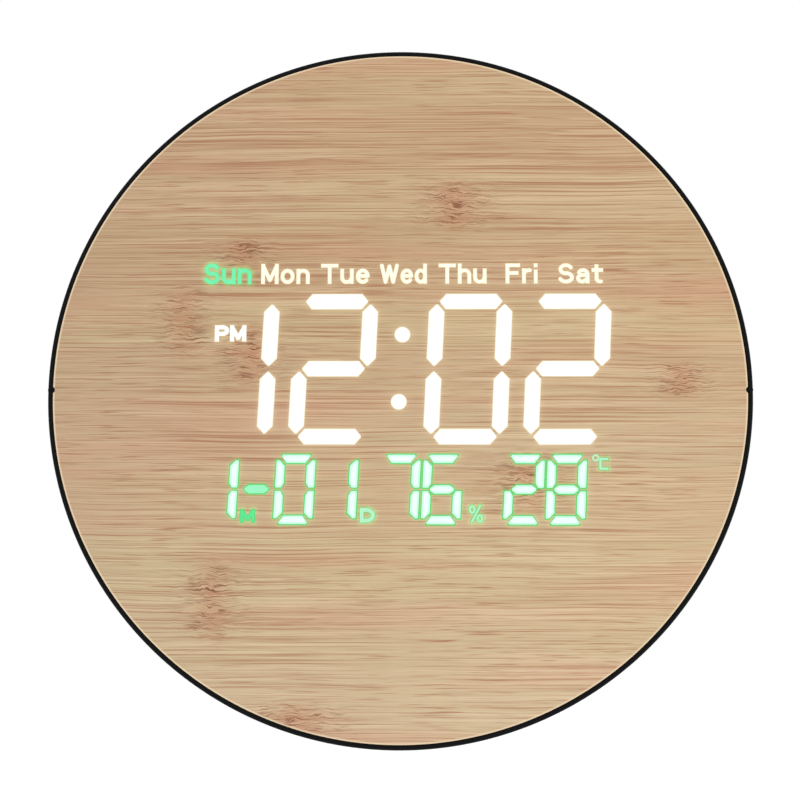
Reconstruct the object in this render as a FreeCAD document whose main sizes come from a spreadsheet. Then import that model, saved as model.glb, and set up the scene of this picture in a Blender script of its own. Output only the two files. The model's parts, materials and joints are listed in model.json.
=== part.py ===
"""Round wall and desk alarm clock with a light-up display behind a wood-grain face.

Units are millimetres. The clock faces -Y with +X to the right and +Z up. The origin lies on the
clock's axis in the plane of its back, which is the wall it hangs on. Depths are given as heights
above the wall: a level of 0 is the wall and a level of case_depth is the front of the rim.
"""
import FreeCAD, Part
import math
import os
import re

import Sketcher
from FreeCAD import Vector

ALONG_X = Vector(1, 0, 0)
ALONG_Y = Vector(0, 1, 0)
ALONG_Z = Vector(0, 0, 1)
OUTWARD = Vector(0, -1, 0)

doc = FreeCAD.newDocument("alarm_clock")


# ---------------------------------------------------------------- driving dimensions

SIZES = {
    # case
    "case_size": (250, "outside diameter of the rim"),
    "case_depth": (30, "wall to the front of the rim"),
    "case_wall": (1.8, "side wall of the front frame"),
    "frame_depth": (16, "front of the rim to the back edge of the front frame"),
    "rim_round": (1.3, "rounding of the rim's outer front edge"),
    "rear_round": (0.8, "rounding of the frame's outer back edge"),
    "rim_lip": (0.3, "height of the rim above the face"),
    "key_radius": (1.25, "locating key inside the rim"),
    "key_sink": (0.45, "centre of a key, outside the rim's inner face"),
    "floor_wall": (2, "floor that the face is taped to"),
    # face
    "film_wall": (0.25, "printed wood-grain film"),
    "panel_wall": (2, "face panel"),
    "panel_gap": (0.15, "face panel to rim, all round"),
    "tape_wall": (0.45, "foam tape under the face panel"),
    "tape_width": (10, "width of the ring of tape"),
    "tape_inset": (1.2, "tape in from the rim"),
    # display
    "window_width": (158, "display window in the floor"),
    "window_height": (104, "display window in the floor"),
    "window_round": (4, "corners of the display window"),
    "window_x": (0.5, "centre of the display"),
    "window_z": (-1, "centre of the display"),
    "window_gap": (0.5, "light block to window, all round"),
    "mask_wall": (0.25, "printed mask on the light block"),
    "board_gap": (0.2, "display board to rear cover"),
    "block_lip": (2, "flange of the light block behind the floor"),
    "block_lip_wall": (2.2, "thickness of that flange"),
    "light_depth": (4, "cast light bars, front to back"),
    "board_wall": (1.6, "thickness of every circuit board"),
    "display_board_width": (176, "display board"),
    "display_board_height": (118, "display board"),
    "display_hole_inset": (3.5, "display board's screws in from its sides"),
    "display_hole_rise": (36, "display board's screws above and below its centre"),
    "hole_inset": (4.5, "other screw holes in from their board's edges"),
    "board_round": (2.5, "corners of the boards"),
    # fasteners
    "screw_shank": (1.25, "radius of a screw's shank"),
    "screw_head": (2.4, "radius of a screw's head"),
    "screw_head_depth": (1.7, "height of a screw's head"),
    "screw_bite": (5.5, "length of screw in a boss"),
    "screw_play": (0.3, "clearance hole around a shank"),
    "boss_radius": (3.2, "screw boss"),
    # seven-bar digits
    "time_width": (24.1, "time digit between the axes of its upright bars"),
    "time_pitch": (24.25, "time digit between the axes of its level bars"),
    "time_bar": (5.5, "thickness of a time bar"),
    "time_bar_length": (22, "tip to tip"),
    "time_step": (35.2, "time digit to its neighbour"),
    "time_middle": (47.8, "between the hours and the minutes"),
    "time_x": (0.75, "centre of the time"),
    "time_z": (7.6, "centre of the time"),
    "colon_radius": (2.75, "colon dot"),
    "colon_rise": (12.05, "colon dot above or below the time's centre"),
    "slant": (0.047, "lean of the digits, across per up"),
    "small_width": (10.8, "small digit between the axes of its upright bars"),
    "small_pitch": (10.75, "small digit between the axes of its level bars"),
    "small_bar": (3.4, "thickness of a small bar"),
    "small_bar_length": (10, "tip to tip"),
    "small_step": (14.9, "small digit to its neighbour"),
    "small_z": (-35.25, "centre of the small digits"),
    "month_x": (-71, "centre of the month"),
    "dash_x": (-49.9, "centre of the dash"),
    "day_x": (-28.9, "centre of the day"),
    "humidity_x": (8, "centre of the humidity"),
    "temperature_x": (51.5, "centre of the temperature"),
    "week_step": (21, "weekday to weekday"),
    "week_x": (1.7, "centre of the week"),
    "week_z": (42, "centre of the week"),
    "well_gap": (0.1, "light bar to its well"),
    # rear cover
    "drum_inset": (25, "drum in from the rim"),
    "flat_inset": (35, "flat under the drum in from the rim"),
    "cover_wall": (2.4, "walls of the rear cover"),
    "cover_gap": (0.15, "cover to front frame, all round"),
    "drum_round": (2.5, "edge of the drum at the wall"),
    "cover_screw_inset": (13, "cover screws in from the rim"),
    "boss_depth": (5, "inner bosses that carry the boards"),
    "keyhole_z": (68, "centre of the keyhole's entry"),
    "keyhole_radius": (4.5, "keyhole's entry"),
    "keyhole_slot": (4.4, "width of the keyhole's neck"),
    "keyhole_rise": (10, "entry to the top of the neck"),
    "keyhole_cup": (5, "room for a screw head behind the keyhole"),
    "keyhole_room": (0.6, "that room beyond the entry, all round"),
    "keyhole_side": (1.6, "walls around that room"),
    # control board and its buttons
    "control_width": (118, "control board"),
    "control_height": (44, "control board"),
    "control_x": (11, "centre of the control board"),
    "control_z": (32, "centre of the control board"),
    "button_x": (-38, "first button"),
    "button_z": (30, "row of buttons"),
    "button_step": (14, "button to button"),
    "button_radius": (4.2, "button"),
    "button_gap": (0.3, "button to its hole"),
    "button_collar": (1, "collar that keeps a button in"),
    "button_collar_wall": (0.6, "thickness of that collar"),
    "button_sink": (0.5, "button below the back"),
    "button_travel": (0.5, "travel of a button"),
    "switch_side": (6, "switch body, square"),
    "switch_depth": (3.4, "switch body, height"),
    "plunger_radius": (1.75, "switch plunger"),
    "plunger_gap": (0.3, "plunger to its well"),
    "plunger_sunk": (0.8, "plunger inside the switch body"),
    "buzzer_x": (24, "buzzer"),
    "buzzer_z": (42, "buzzer"),
    "buzzer_radius": (6, "buzzer"),
    "buzzer_depth": (4.6, "buzzer"),
    # back-up cell and its lid
    "cell_x": (52, "back-up cell"),
    "cell_z": (30, "back-up cell"),
    "cell_radius": (10, "back-up cell"),
    "cell_depth": (3.2, "back-up cell"),
    "holder_wall": (1.5, "wall of the cell holder"),
    "lid_flange": (2.5, "flange of the lid beyond its skirt"),
    "lid_wall": (1, "thickness of the lid's flange"),
    "lid_sink": (0.1, "lid below the back"),
    "lid_gap": (0.3, "lid to cover"),
    "lid_seat": (1.2, "depth of the seat for the lid"),
    "lid_turn": (30, "twist of the lid, degrees"),
    "cell_play": (0.8, "back-up cell to the skirt of the lid"),
    "skirt_wall": (1.7, "thickness of the skirt"),
    "skirt_depth": (3.5, "flange to the end of the skirt"),
    "lug_reach": (2.1, "lug beyond the skirt"),
    "lug_depth": (1.5, "lug, along the axis"),
    "lug_width": (6, "lug, around the axis"),
    # folding foot
    "foot_width": (36, "folding foot"),
    "foot_length": (66, "hinge to tip"),
    "foot_wall": (4, "thickness of the foot"),
    "foot_level": (0.6, "foot below the back when folded"),
    "foot_rise": (8, "hinge above the flat under the drum"),
    "foot_gap": (0.7, "foot to its recess"),
    "foot_floor": (2, "floor of the recess"),
    "foot_cheek": (4, "walls beside the recess"),
    "foot_turn": (115, "opening of the foot, degrees"),
    "foot_grip": (7, "radius of the finger notch"),
    "pin_radius": (1.25, "hinge pin"),
    "pin_play": (0.05, "foot's bore around the pin"),
    "pin_end": (3, "pin inside each cheek"),
    "sole_width": (26, "rubber sole of the foot"),
    "sole_height": (6, "rubber sole of the foot"),
    "sole_wall": (1, "rubber sole of the foot"),
    "sole_stand": (0.4, "sole proud of the foot"),
    # power inlet
    "inlet_x": (-34, "power inlet"),
    "inlet_width": (9, "power inlet's shell"),
    "inlet_depth": (3.2, "power inlet's shell"),
    "inlet_length": (7.4, "power inlet's shell"),
    "inlet_wall": (0.3, "power inlet's shell"),
    "inlet_gap": (0.2, "shell to the cover"),
    "power_width": (17, "power board"),
    "power_height": (20, "power board"),
    # air sensor
    "sensor_x": (50, "sensor board"),
    "sensor_z": (-62, "sensor board"),
    "sensor_width": (22, "sensor board"),
    "sensor_height": (16, "sensor board"),
    "vent_width": (1.4, "vent slot"),
    "vent_length": (12, "vent slot"),
    "vent_step": (3.2, "vent slot to vent slot"),
    "lead_radius": (0.9, "inner leads"),
    "lead_bend": (2.2, "bends of the inner leads"),
    "lead_lift": (3.1, "inner leads above the boards"),
    "ribbon_width": (20, "flat cable"),
    "ribbon_wall": (0.3, "flat cable"),
    "ribbon_bend": (5, "bends of the flat cable"),
    "socket_depth": (2, "flat cable's sockets"),
    "socket_height": (5, "flat cable's sockets"),
}

# Places worked out from the sizes. Names ending in _level are heights above the wall.
PLACES = {
    "case_radius": "case_size / 2",
    "rim_inside": "case_radius - case_wall",
    "film_radius": "rim_inside - panel_gap",
    "key_place": "rim_inside + key_sink",
    "frame_level": "case_depth - frame_depth",
    "film_level": "case_depth - rim_lip - film_wall",
    "panel_level": "film_level - panel_wall",
    "tape_level": "panel_level - tape_wall",
    "floor_level": "tape_level - floor_wall",
    "mask_level": "panel_level - mask_wall",
    "block_width": "window_width - 2 * window_gap",
    "block_height": "window_height - 2 * window_gap",
    "block_lip_level": "floor_level - block_lip_wall",
    "light_level": "mask_level - light_depth",
    "display_hole_x": "display_board_width / 2 - display_hole_inset",
    "cover_outside": "rim_inside - cover_gap",
    "cover_boss_level": "frame_level + cover_wall",
    "display_level": "cover_boss_level + board_gap",
    "block_level": "display_level + board_wall",
    "block_depth": "mask_level - block_level",
    "cover_screw_place": "case_radius - cover_screw_inset",
    "drum_radius": "case_radius - drum_inset",
    "drum_inside": "drum_radius - cover_wall",
    "flat_place": "case_radius - flat_inset",
    "flat_inside": "flat_place - cover_wall",
    "board_level": "cover_wall + boss_depth",
    "parts_level": "board_level + board_wall",
    "control_hole_x": "control_width / 2 - hole_inset",
    "control_hole_z": "control_height / 2 - hole_inset",
    "button_hole": "button_radius + button_gap",
    "collar_level": "cover_wall + button_gap",
    "plunger_level": "collar_level + button_collar_wall",
    "switch_level": "board_level - switch_depth",
    "switch_well": "plunger_sunk + button_travel + 0.1",
    "skirt_radius": "cell_radius + cell_play + skirt_wall",
    "lid_radius": "skirt_radius + lid_flange",
    "lid_hole": "skirt_radius + lid_gap",
    "lid_lip": "cover_wall - lid_seat",
    "lug_level": "cover_wall + lid_gap",
    "lug_tip": "skirt_radius + lug_reach",
    "skirt_level": "lid_sink + lid_wall",
    "holder_inside": "cell_radius + lid_gap",
    "holder_outside": "holder_inside + holder_wall",
    "holder_level": "skirt_level + skirt_depth + lid_gap",
    "cell_level": "board_level - cell_depth - 0.6",
    "hinge_level": "foot_level + foot_wall / 2",
    "hinge_z": "foot_rise - flat_place",
    "foot_lean": "foot_turn - 90",
    "recess_drop": "(foot_wall / 2 + 0.31 + hinge_level * sin(foot_lean * 1 deg)) / cos(foot_lean * 1 deg)",
    "recess_low": "hinge_z - recess_drop",
    "recess_high": "hinge_z + foot_length + foot_gap",
    "recess_level": "foot_level + foot_wall + foot_gap",
    "recess_half": "foot_width / 2 + foot_gap",
    "cheek_half": "recess_half + foot_cheek",
    "sole_level": "foot_level - sole_stand",
    "sole_z": "hinge_z + foot_length - sole_height / 2 - 3",
    "inlet_level": "board_level - inlet_depth",
    "inlet_end": "0.4 - flat_place",
    "power_low": "1.2 - flat_inside",
    "power_z": "power_low + power_height / 2",
    "lead_level": "parts_level + lead_lift",
    "control_low": "control_z - control_height / 2",
    "control_high": "control_z + control_height / 2",
    "ribbon_low": "window_z - 20",
    "ribbon_high": "control_low + 5",
}

WORD = re.compile(r"[a-z][a-z_]*")


def bound(text):
    """Turn a formula of plain names into one that refers to the sheet."""
    def refer(match):
        name = match.group(0)
        if name in SIZES:
            return "sizes." + name
        if name in PLACES:
            return "places." + name
        return name
    return WORD.sub(refer, text)


def make_sheet():
    """Put every driving dimension in the spreadsheet, one row each."""
    sheet = doc.addObject("Spreadsheet::Sheet", "sizes")
    for row, (name, (size, note)) in enumerate(SIZES.items(), start=1):
        sheet.set(f"A{row}", name)
        sheet.set(f"B{row}", str(size))
        sheet.set(f"C{row}", note)
        sheet.setAlias(f"B{row}", name)
    doc.recompute()
    return sheet


def make_places():
    """Keep the worked-out places as a set of variables that follow the sheet."""
    variables = doc.addObject("App::VarSet", "places")
    for name, formula in PLACES.items():
        variables.addProperty("App::PropertyFloat", name)
        variables.setExpression(name, bound(formula))
    doc.recompute()
    return variables


sizes = make_sheet()
places = make_places()


def value(name):
    """Read one named size or place as a number."""
    return float(getattr(places if name in PLACES else sizes, name))


# ---------------------------------------------------------------- outlines for sketches

def drive(sketch, kind, where, formula, start=1.0):
    """Add one dimension to a sketch, near its value where that matters, and bind it to the sheet."""
    index = sketch.addConstraint(Sketcher.Constraint(kind, *where, start))
    sketch.setExpression(f"Constraints[{index}]", bound(formula))


def locate(sketch, edge, point, across, up):
    """Fix a point of an edge at its distances from the sketch's origin."""
    if across == "0":
        sketch.addConstraint(Sketcher.Constraint("PointOnObject", edge, point, -2))
    else:
        drive(sketch, "DistanceX", (-1, 1, edge, point), across)
    if up == "0":
        sketch.addConstraint(Sketcher.Constraint("PointOnObject", edge, point, -1))
    else:
        drive(sketch, "DistanceY", (-1, 1, edge, point), up)


def disc(across, up, radius):
    """A circle about a point."""
    def draw(sketch):
        edge = sketch.addGeometry(Part.Circle(Vector(1, 1, 0), ALONG_Z, 1))
        drive(sketch, "Radius", (edge,), radius)
        locate(sketch, edge, 3, across, up)
    return draw


def slab(across, up, width, height):
    """An upright rectangle about a point."""
    def draw(sketch):
        corners = [Vector(0, 0, 0), Vector(2, 0, 0), Vector(2, 1, 0), Vector(0, 1, 0)]
        edges = []
        for start, end in zip(corners, corners[1:] + corners[:1]):
            edges.append(sketch.addGeometry(Part.LineSegment(start, end)))
        for edge, following in zip(edges, edges[1:] + edges[:1]):
            sketch.addConstraint(Sketcher.Constraint("Coincident", edge, 2, following, 1))
        for side in (0, 2):
            sketch.addConstraint(Sketcher.Constraint("Horizontal", edges[side]))
            sketch.addConstraint(Sketcher.Constraint("Vertical", edges[side + 1]))
        drive(sketch, "DistanceX", (edges[0], 1, edges[0], 2), width)
        drive(sketch, "DistanceY", (edges[1], 1, edges[1], 2), height)
        locate(sketch, edges[0], 1, f"{across} - ({width}) / 2", f"{up} - ({height}) / 2")
    return draw


def dee(radius, flat):
    """A circle about the origin, cut straight across below its centre."""
    def draw(sketch):
        reach = value(radius)
        drop = value(flat)
        turn = math.asin(drop / reach)
        half = math.sqrt(reach ** 2 - drop ** 2)
        circle = Part.Circle(Vector(), ALONG_Z, reach)
        arc = sketch.addGeometry(Part.ArcOfCircle(circle, -turn, math.pi + turn))
        line = sketch.addGeometry(Part.LineSegment(Vector(-half, -drop, 0), Vector(half, -drop, 0)))
        sketch.addConstraint(Sketcher.Constraint("Coincident", arc, 3, -1, 1))
        sketch.addConstraint(Sketcher.Constraint("Coincident", arc, 2, line, 1))
        sketch.addConstraint(Sketcher.Constraint("Coincident", line, 2, arc, 1))
        sketch.addConstraint(Sketcher.Constraint("Horizontal", line))
        drive(sketch, "Radius", (arc,), radius, reach)
        drive(sketch, "DistanceY", (line, 1, -1, 1), flat, drop)
    return draw


# ---------------------------------------------------------------- pieces built from features

FACE = "XZ_Plane"
SIDE = "YZ_Plane"
BASE = "XY_Plane"


class Piece:
    """A body that is built up from sketches laid parallel to the wall, unless said otherwise."""

    def __init__(self, label):
        self.body = doc.addObject("PartDesign::Body", label)
        self.body.Label = label
        self.count = 0

    def named(self, kind):
        self.count += 1
        return f"{self.body.Name}_{kind}_{self.count}"

    def origin(self, role):
        for item in self.body.Origin.OriginFeatures:
            if item.Role == role:
                return item
        raise RuntimeError("no " + role)

    def sketch(self, shapes, offset, plane):
        drawing = self.body.newObject("Sketcher::SketchObject", self.named("sketch"))
        drawing.AttachmentSupport = (self.origin(plane), [""])
        drawing.MapMode = "FlatFace"
        drawing.setExpression("AttachmentOffset.Base.z", bound(offset))
        for draw in shapes:
            draw(drawing)
        return drawing

    def pad(self, shapes, level, depth, plane=FACE):
        """Add material from a level outwards."""
        feature = self.body.newObject("PartDesign::Pad", self.named("pad"))
        feature.Profile = self.sketch(shapes, level, plane)
        feature.setExpression("Length", bound(depth))
        self.body.Tip = feature
        return feature

    def cut(self, shapes, level, depth, plane=FACE):
        """Take material away from a level outwards."""
        doc.recompute()
        before = self.body.Shape.Volume
        feature = self.body.newObject("PartDesign::Pocket", self.named("pocket"))
        feature.Profile = self.sketch(shapes, level, plane)
        feature.Reversed = True
        feature.setExpression("Length", bound(depth))
        self.body.Tip = feature
        doc.recompute()
        if self.body.Shape.Volume > before - 1e-6:
            raise RuntimeError(f"{feature.Name} cuts nothing")
        return feature

    def through(self, shapes, level, depth, plane=FACE):
        """Take material away right through a wall, from clear of one face to clear of the other."""
        return self.cut(shapes, f"{level} - 0.7", f"{depth} + 1.4", plane)

    def around(self, features, number):
        """Repeat features evenly about the clock's axis."""
        feature = self.body.newObject("PartDesign::PolarPattern", self.named("pattern"))
        feature.Originals = features
        feature.Axis = (self.origin("Y_Axis"), [""])
        feature.Angle = 360
        feature.Occurrences = number
        self.body.Tip = feature
        return feature

    def soften(self, radius, wanted):
        """Round every edge that the test picks."""
        doc.recompute()
        edges = self.body.Shape.Edges
        names = [f"Edge{index}" for index, edge in enumerate(edges, start=1) if wanted(edge)]
        if not names:
            raise RuntimeError(f"{self.body.Label} has no edge to round")
        base = self.body.Tip
        feature = self.body.newObject("PartDesign::Fillet", self.named("fillet"))
        feature.Base = (base, names)
        feature.setExpression("Radius", bound(radius))
        self.body.Tip = feature
        return feature


def hoop(radius, level):
    """A test for circular edges of one radius at one level, to round them."""
    def wanted(edge):
        curve = edge.Curve
        round_edge = isinstance(curve, Part.Circle) and abs(curve.Radius - value(radius)) < 1e-4
        return round_edge and abs(-edge.BoundBox.YMin - value(level)) < 1e-4
    return wanted


def corner_of(width, height, x="0", z="0"):
    """A test for the four edges through a plate at the corners of a rectangle."""
    def place(name):
        return 0.0 if name == "0" else value(name)

    def wanted(edge):
        box = edge.BoundBox
        if max(box.XLength, box.ZLength) > 1e-4:
            return False
        across = abs(abs(box.Center.x - place(x)) - value(width) / 2)
        up = abs(abs(box.Center.z - place(z)) - value(height) / 2)
        return max(across, up) < 1e-4
    return wanted


def four_spots(x, z, half_width, half_height):
    """The four corners of a rectangle, as pairs of formulas."""
    return [(f"{x} {a} {half_width}", f"{z} {b} {half_height}") for a in "+-" for b in "+-"]


def board(label, x, z, width, height, spots, level="board_level"):
    """A circuit board with rounded corners and clearance holes for its screws."""
    piece = Piece(label)
    piece.pad([slab(x, z, width, height)], level, "board_wall")
    piece.soften("board_round", corner_of(width, height, x, z))
    piece.cut([disc(a, b, "screw_shank + screw_play") for a, b in spots], level, "board_wall")
    return piece


def screws_towards_wall(label, spots):
    """Screws whose heads sit on a board's front face and whose shanks point at the wall."""
    piece = Piece(label)
    piece.pad([disc(a, b, "screw_shank") for a, b in spots], "board_level - boss_depth + 0.8",
              "boss_depth - 0.8 + board_wall")
    piece.pad([disc(a, b, "screw_head") for a, b in spots], "parts_level", "screw_head_depth")
    piece.cut([slab(a, b, "screw_head * 1.1", "screw_head / 4") for a, b in spots],
              "parts_level + screw_head_depth / 2", "screw_head_depth / 2")
    return piece


# ---------------------------------------------------------------- front half of the case

def make_front_frame():
    """Rim, side wall and floor in one moulding, with bosses for the board and the cover."""
    piece = Piece("front_frame")
    piece.pad([disc("0", "0", "case_radius"), disc("0", "0", "rim_inside")], "frame_level",
              "frame_depth")
    piece.pad([disc("0", "0", "case_radius - case_wall / 2"),
               slab("window_x", "window_z", "window_width", "window_height")],
              "floor_level", "floor_wall")
    keys = [disc(f"{side} key_place", "0", "key_radius") for side in ("0 -", "0 +")]
    piece.pad(keys, "tape_level", "case_depth - tape_level - 0.6")
    piece.soften("window_round", corner_of("window_width", "window_height", "window_x", "window_z"))
    tall = piece.pad([disc("0", "cover_screw_place", "boss_radius")], "cover_boss_level",
                     "floor_level - cover_boss_level")
    piece.around([tall], 6)
    hole = piece.cut([disc("0", "cover_screw_place", "screw_shank")], "cover_boss_level",
                     "screw_bite + 0.5")
    piece.around([hole], 6)
    spots = four_spots("window_x", "window_z", "display_hole_x", "display_hole_rise")
    piece.pad([disc(a, b, "boss_radius") for a, b in spots], "block_level",
              "floor_level - block_level")
    piece.cut([disc(a, b, "screw_shank") for a, b in spots], "block_level", "screw_bite + 0.5")
    piece.soften("rim_round", hoop("case_radius", "case_depth"))
    piece.soften("rear_round", hoop("case_radius", "frame_level"))


def make_face():
    """Panel behind the wood-grain film, both notched for the keys, and the tape that holds them."""
    for label, level, wall in (("wood_grain_film", "film_level", "film_wall"),
                               ("face_panel", "panel_level", "panel_wall")):
        piece = Piece(label)
        piece.pad([disc("0", "0", "film_radius")], level, wall)
        for side in ("0 -", "0 +"):
            piece.cut([disc(f"{side} key_place", "0", "key_radius + panel_gap")], level, wall)
    tape = Piece("panel_tape")
    tape.pad([disc("0", "0", "rim_inside - tape_inset"),
              disc("0", "0", "rim_inside - tape_inset - tape_width")], "tape_level", "tape_wall")


# ---------------------------------------------------------------- display

# The bars of a digit: how far across and up from its centre, in half widths and half pitches,
# and whether the bar stands upright.
BARS = {
    "a": (0, 2, False), "g": (0, 0, False), "d": (0, -2, False),
    "f": (-1, 1, True), "b": (1, 1, True), "e": (-1, -1, True), "c": (1, -1, True),
}

# Small windows beside the digits: centre across, centre up, width and height.
LEGENDS = {
    "afternoon": (-60.05, 20.4, 12.6, 7.0),
    "month": (-53.0, -44.75, 6.3, 5.8),
    "day": (-10.85, -44.45, 5.9, 6.4),
    "percent": (27.25, -43.8, 6.0, 7.4),
    "degrees": (70.9, -25.75, 6.2, 6.6),
}
WEEKDAY_WINDOW = (18.6, 8.4)
LIGHT_SENSOR_SPOT = (75.0, -44.0)
LIGHT_SENSOR_WELL = (4.4, 3.4)


def upright_block(outline, level, depth):
    """A straight block on an outline of (across, up) corners, from a level outwards."""
    corners = [Vector(across, -level, up) for across, up in outline]
    face = Part.Face(Part.makePolygon(corners + corners[:1]))
    return face.extrude(OUTWARD * depth)


def bar_outline(centre, length, wide, upright, grow):
    """A bar with pointed ends, leaning with its digit."""
    half = length / 2 + grow
    side = wide / 2 + grow
    shoulder = half - side * 0.92
    points = [(-half, 0), (-shoulder, side), (shoulder, side), (half, 0), (shoulder, -side),
              (-shoulder, -side)]
    lean = value("slant")
    outline = []
    for along, across in points:
        x, z = (across, along) if upright else (along, across)
        outline.append((centre[0] + x + lean * z, centre[1] + z))
    return outline


def digit_bars(x, z, style, names="abcdefg"):
    """Centres and directions of the bars of one digit."""
    bars = []
    for name in names:
        across, up, upright = BARS[name]
        rise = up * value(style + "_pitch") / 2
        shift = across * value(style + "_width") / 2 + value("slant") * rise
        bars.append(((x + shift, z + rise), upright))
    return bars


def time_bars():
    """Bars of the four large digits."""
    inner = value("time_middle") / 2
    outer = inner + value("time_step")
    bars = []
    for offset in (-outer, -inner, inner, outer):
        bars += digit_bars(value("time_x") + offset, value("time_z"), "time")
    return bars


def colon_dots():
    """Centres of the colon's two dots."""
    x = value("time_x")
    z = value("time_z")
    rise = value("colon_rise")
    return [(x + side * rise * value("slant"), z + side * rise) for side in (1, -1)]


def small_bars():
    """Bars of the date, humidity and temperature, with the dash between month and day."""
    half = value("small_step") / 2
    z = value("small_z")
    bars = digit_bars(value("month_x") - half, z, "small", "bc")
    bars += digit_bars(value("month_x") + half, z, "small")
    for name in ("day_x", "humidity_x", "temperature_x"):
        for side in (-half, half):
            bars += digit_bars(value(name) + side, z, "small")
    bars.append(((value("dash_x"), z), False))
    return bars


def legend_windows():
    """Windows of the weekdays and the signs: centre across, centre up, width, height."""
    windows = [(value("week_x") + day * value("week_step"), value("week_z")) + WEEKDAY_WINDOW
               for day in range(-3, 4)]
    return windows + list(LEGENDS.values())


def rectangle(x, z, width, height, grow=0.0):
    """Corners of an upright rectangle about a point."""
    half_width = width / 2 + grow
    half_height = height / 2 + grow
    signs = ((-1, -1), (1, -1), (1, 1), (-1, 1))
    return [(x + a * half_width, z + b * half_height) for a, b in signs]


def bar_solids(bars, style, level, depth, grow=0.0):
    """One solid for each bar of a style."""
    length = value(style + "_bar_length")
    wide = value(style + "_bar")
    return [upright_block(bar_outline(centre, length, wide, upright, grow), level, depth)
            for centre, upright in bars]


def dot_solids(level, depth, grow=0.0):
    """The colon's dots."""
    return [Part.makeCylinder(value("colon_radius") + grow, depth, Vector(x, -level, z), OUTWARD)
            for x, z in colon_dots()]


def legend_solids(level, depth, grow=0.0):
    """One solid for each weekday and sign."""
    return [upright_block(rectangle(*window, grow), level, depth) for window in legend_windows()]


def keep_shape(label, solids):
    """Store solids made in code as one object of the document."""
    item = doc.addObject("Part::Feature", label)
    item.Label = label
    item.Shape = solids[0] if len(solids) == 1 else Part.makeCompound(solids)
    item.Placement = FreeCAD.Placement()
    return item


def make_light_block():
    """White block with a well behind each bar and word, and the clear bars cast into it."""
    blank = Piece("light_blank")
    blank.pad([slab("window_x", "window_z", "block_width", "block_height")], "block_level",
              "block_depth")
    blank.soften("window_round - window_gap",
                 corner_of("block_width", "block_height", "window_x", "window_z"))
    blank.pad([slab("window_x", "window_z", "window_width + 2 * block_lip",
                    "window_height + 2 * block_lip")], "block_lip_level", "block_lip_wall")
    back = value("block_level") - 1
    through = value("block_depth") + 2
    gap = value("well_gap")
    wells = bar_solids(time_bars(), "time", back, through, gap)
    wells += bar_solids(small_bars(), "small", back, through, gap)
    wells += dot_solids(back, through, gap) + legend_solids(back, through, gap)
    wells.append(upright_block(rectangle(*LIGHT_SENSOR_SPOT, *LIGHT_SENSOR_WELL), back, through))
    cut = doc.addObject("Part::Cut", "reflector_block")
    cut.Label = "reflector_block"
    cut.Base = blank.body
    cut.Tool = keep_shape("light_wells", wells)
    level = value("light_level")
    depth = value("light_depth")
    keep_shape("time_light_bars",
               bar_solids(time_bars(), "time", level, depth) + dot_solids(level, depth))
    keep_shape("small_light_bars", bar_solids(small_bars(), "small", level, depth))
    keep_shape("legend_light_bars", legend_solids(level, depth))


def chip(x, z, width, height, level, depth):
    """A plain electronic part, standing on a level."""
    return upright_block(rectangle(x, z, width, height), level, depth)


def make_display():
    """Mask, board, light sources and parts of the display."""
    mask = Piece("display_film")
    mask.pad([slab("window_x", "window_z", "block_width", "block_height")], "mask_level",
             "mask_wall")
    mask.soften("window_round - window_gap",
                corner_of("block_width", "block_height", "window_x", "window_z"))
    spots = four_spots("window_x", "window_z", "display_hole_x", "display_hole_rise")
    board("display_board", "window_x", "window_z", "display_board_width", "display_board_height",
          spots, "display_level")
    screws = Piece("display_screws")
    screws.pad([disc(a, b, "screw_shank") for a, b in spots], "display_level",
               "board_wall + screw_bite")
    screws.pad([disc(a, b, "screw_head") for a, b in spots], "display_level - screw_head_depth",
               "screw_head_depth")
    screws.cut([slab(a, b, "screw_head * 1.1", "screw_head / 4") for a, b in spots],
               "display_level - screw_head_depth", "screw_head_depth / 2")

    front = value("block_level")
    lamps = []
    for centre, upright in time_bars():
        for side in (-5.5, 5.5):
            shift = (0, side) if upright else (side, 0)
            lamps.append((centre[0] + shift[0], centre[1] + shift[1]))
    lamps += [centre for centre, _ in small_bars()] + colon_dots()
    for x, z, width, _ in legend_windows():
        half = width / 4 if width > 10 else 0
        lamps += [(x - half, z), (x + half, z)] if half else [(x, z)]
    keep_shape("segment_leds", [chip(x, z, 1.6, 0.8, front, 0.6) for x, z in lamps])
    keep_shape("light_sensor", [chip(*LIGHT_SENSOR_SPOT, 2.0, 1.25, front, 0.8)])
    back = value("display_level")
    keep_shape("driver_chips", [chip(x, -34, 10.3, 7.5, back - 1.7, 1.7) for x in (-45, 45)])
    socket = Piece("display_socket")
    socket.pad([slab("0", "ribbon_low", "ribbon_width + 6", "socket_height")],
               "display_level - socket_depth", "socket_depth")
    socket.cut([slab("0", "ribbon_low + socket_height / 2", "ribbon_width + 0.4", "4")],
               "display_level - socket_depth / 2 - ribbon_wall / 2 - 0.05", "ribbon_wall + 0.1")


def rounded_path(points, bend):
    """A path of straight runs joined by tangent arcs of one radius."""
    edges = []
    start = points[0]
    for before, corner, after in zip(points, points[1:], points[2:]):
        incoming = (corner - before).normalize()
        outgoing = (after - corner).normalize()
        turn = incoming.getAngle(outgoing)
        trim = bend * math.tan(turn / 2)
        enter = corner - incoming * trim
        leave = corner + outgoing * trim
        inward = (outgoing - incoming).normalize()
        middle = corner + inward * (bend / math.cos(turn / 2) - bend)
        edges.append(Part.LineSegment(start, enter).toShape())
        edges.append(Part.Arc(enter, middle, leave).toShape())
        start = leave
    edges.append(Part.LineSegment(start, points[-1]).toShape())
    return Part.Wire(edges)


def swept(path, outline):
    """Sweep a closed outline along a path."""
    return path.makePipeShell([outline], True, False)


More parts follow.
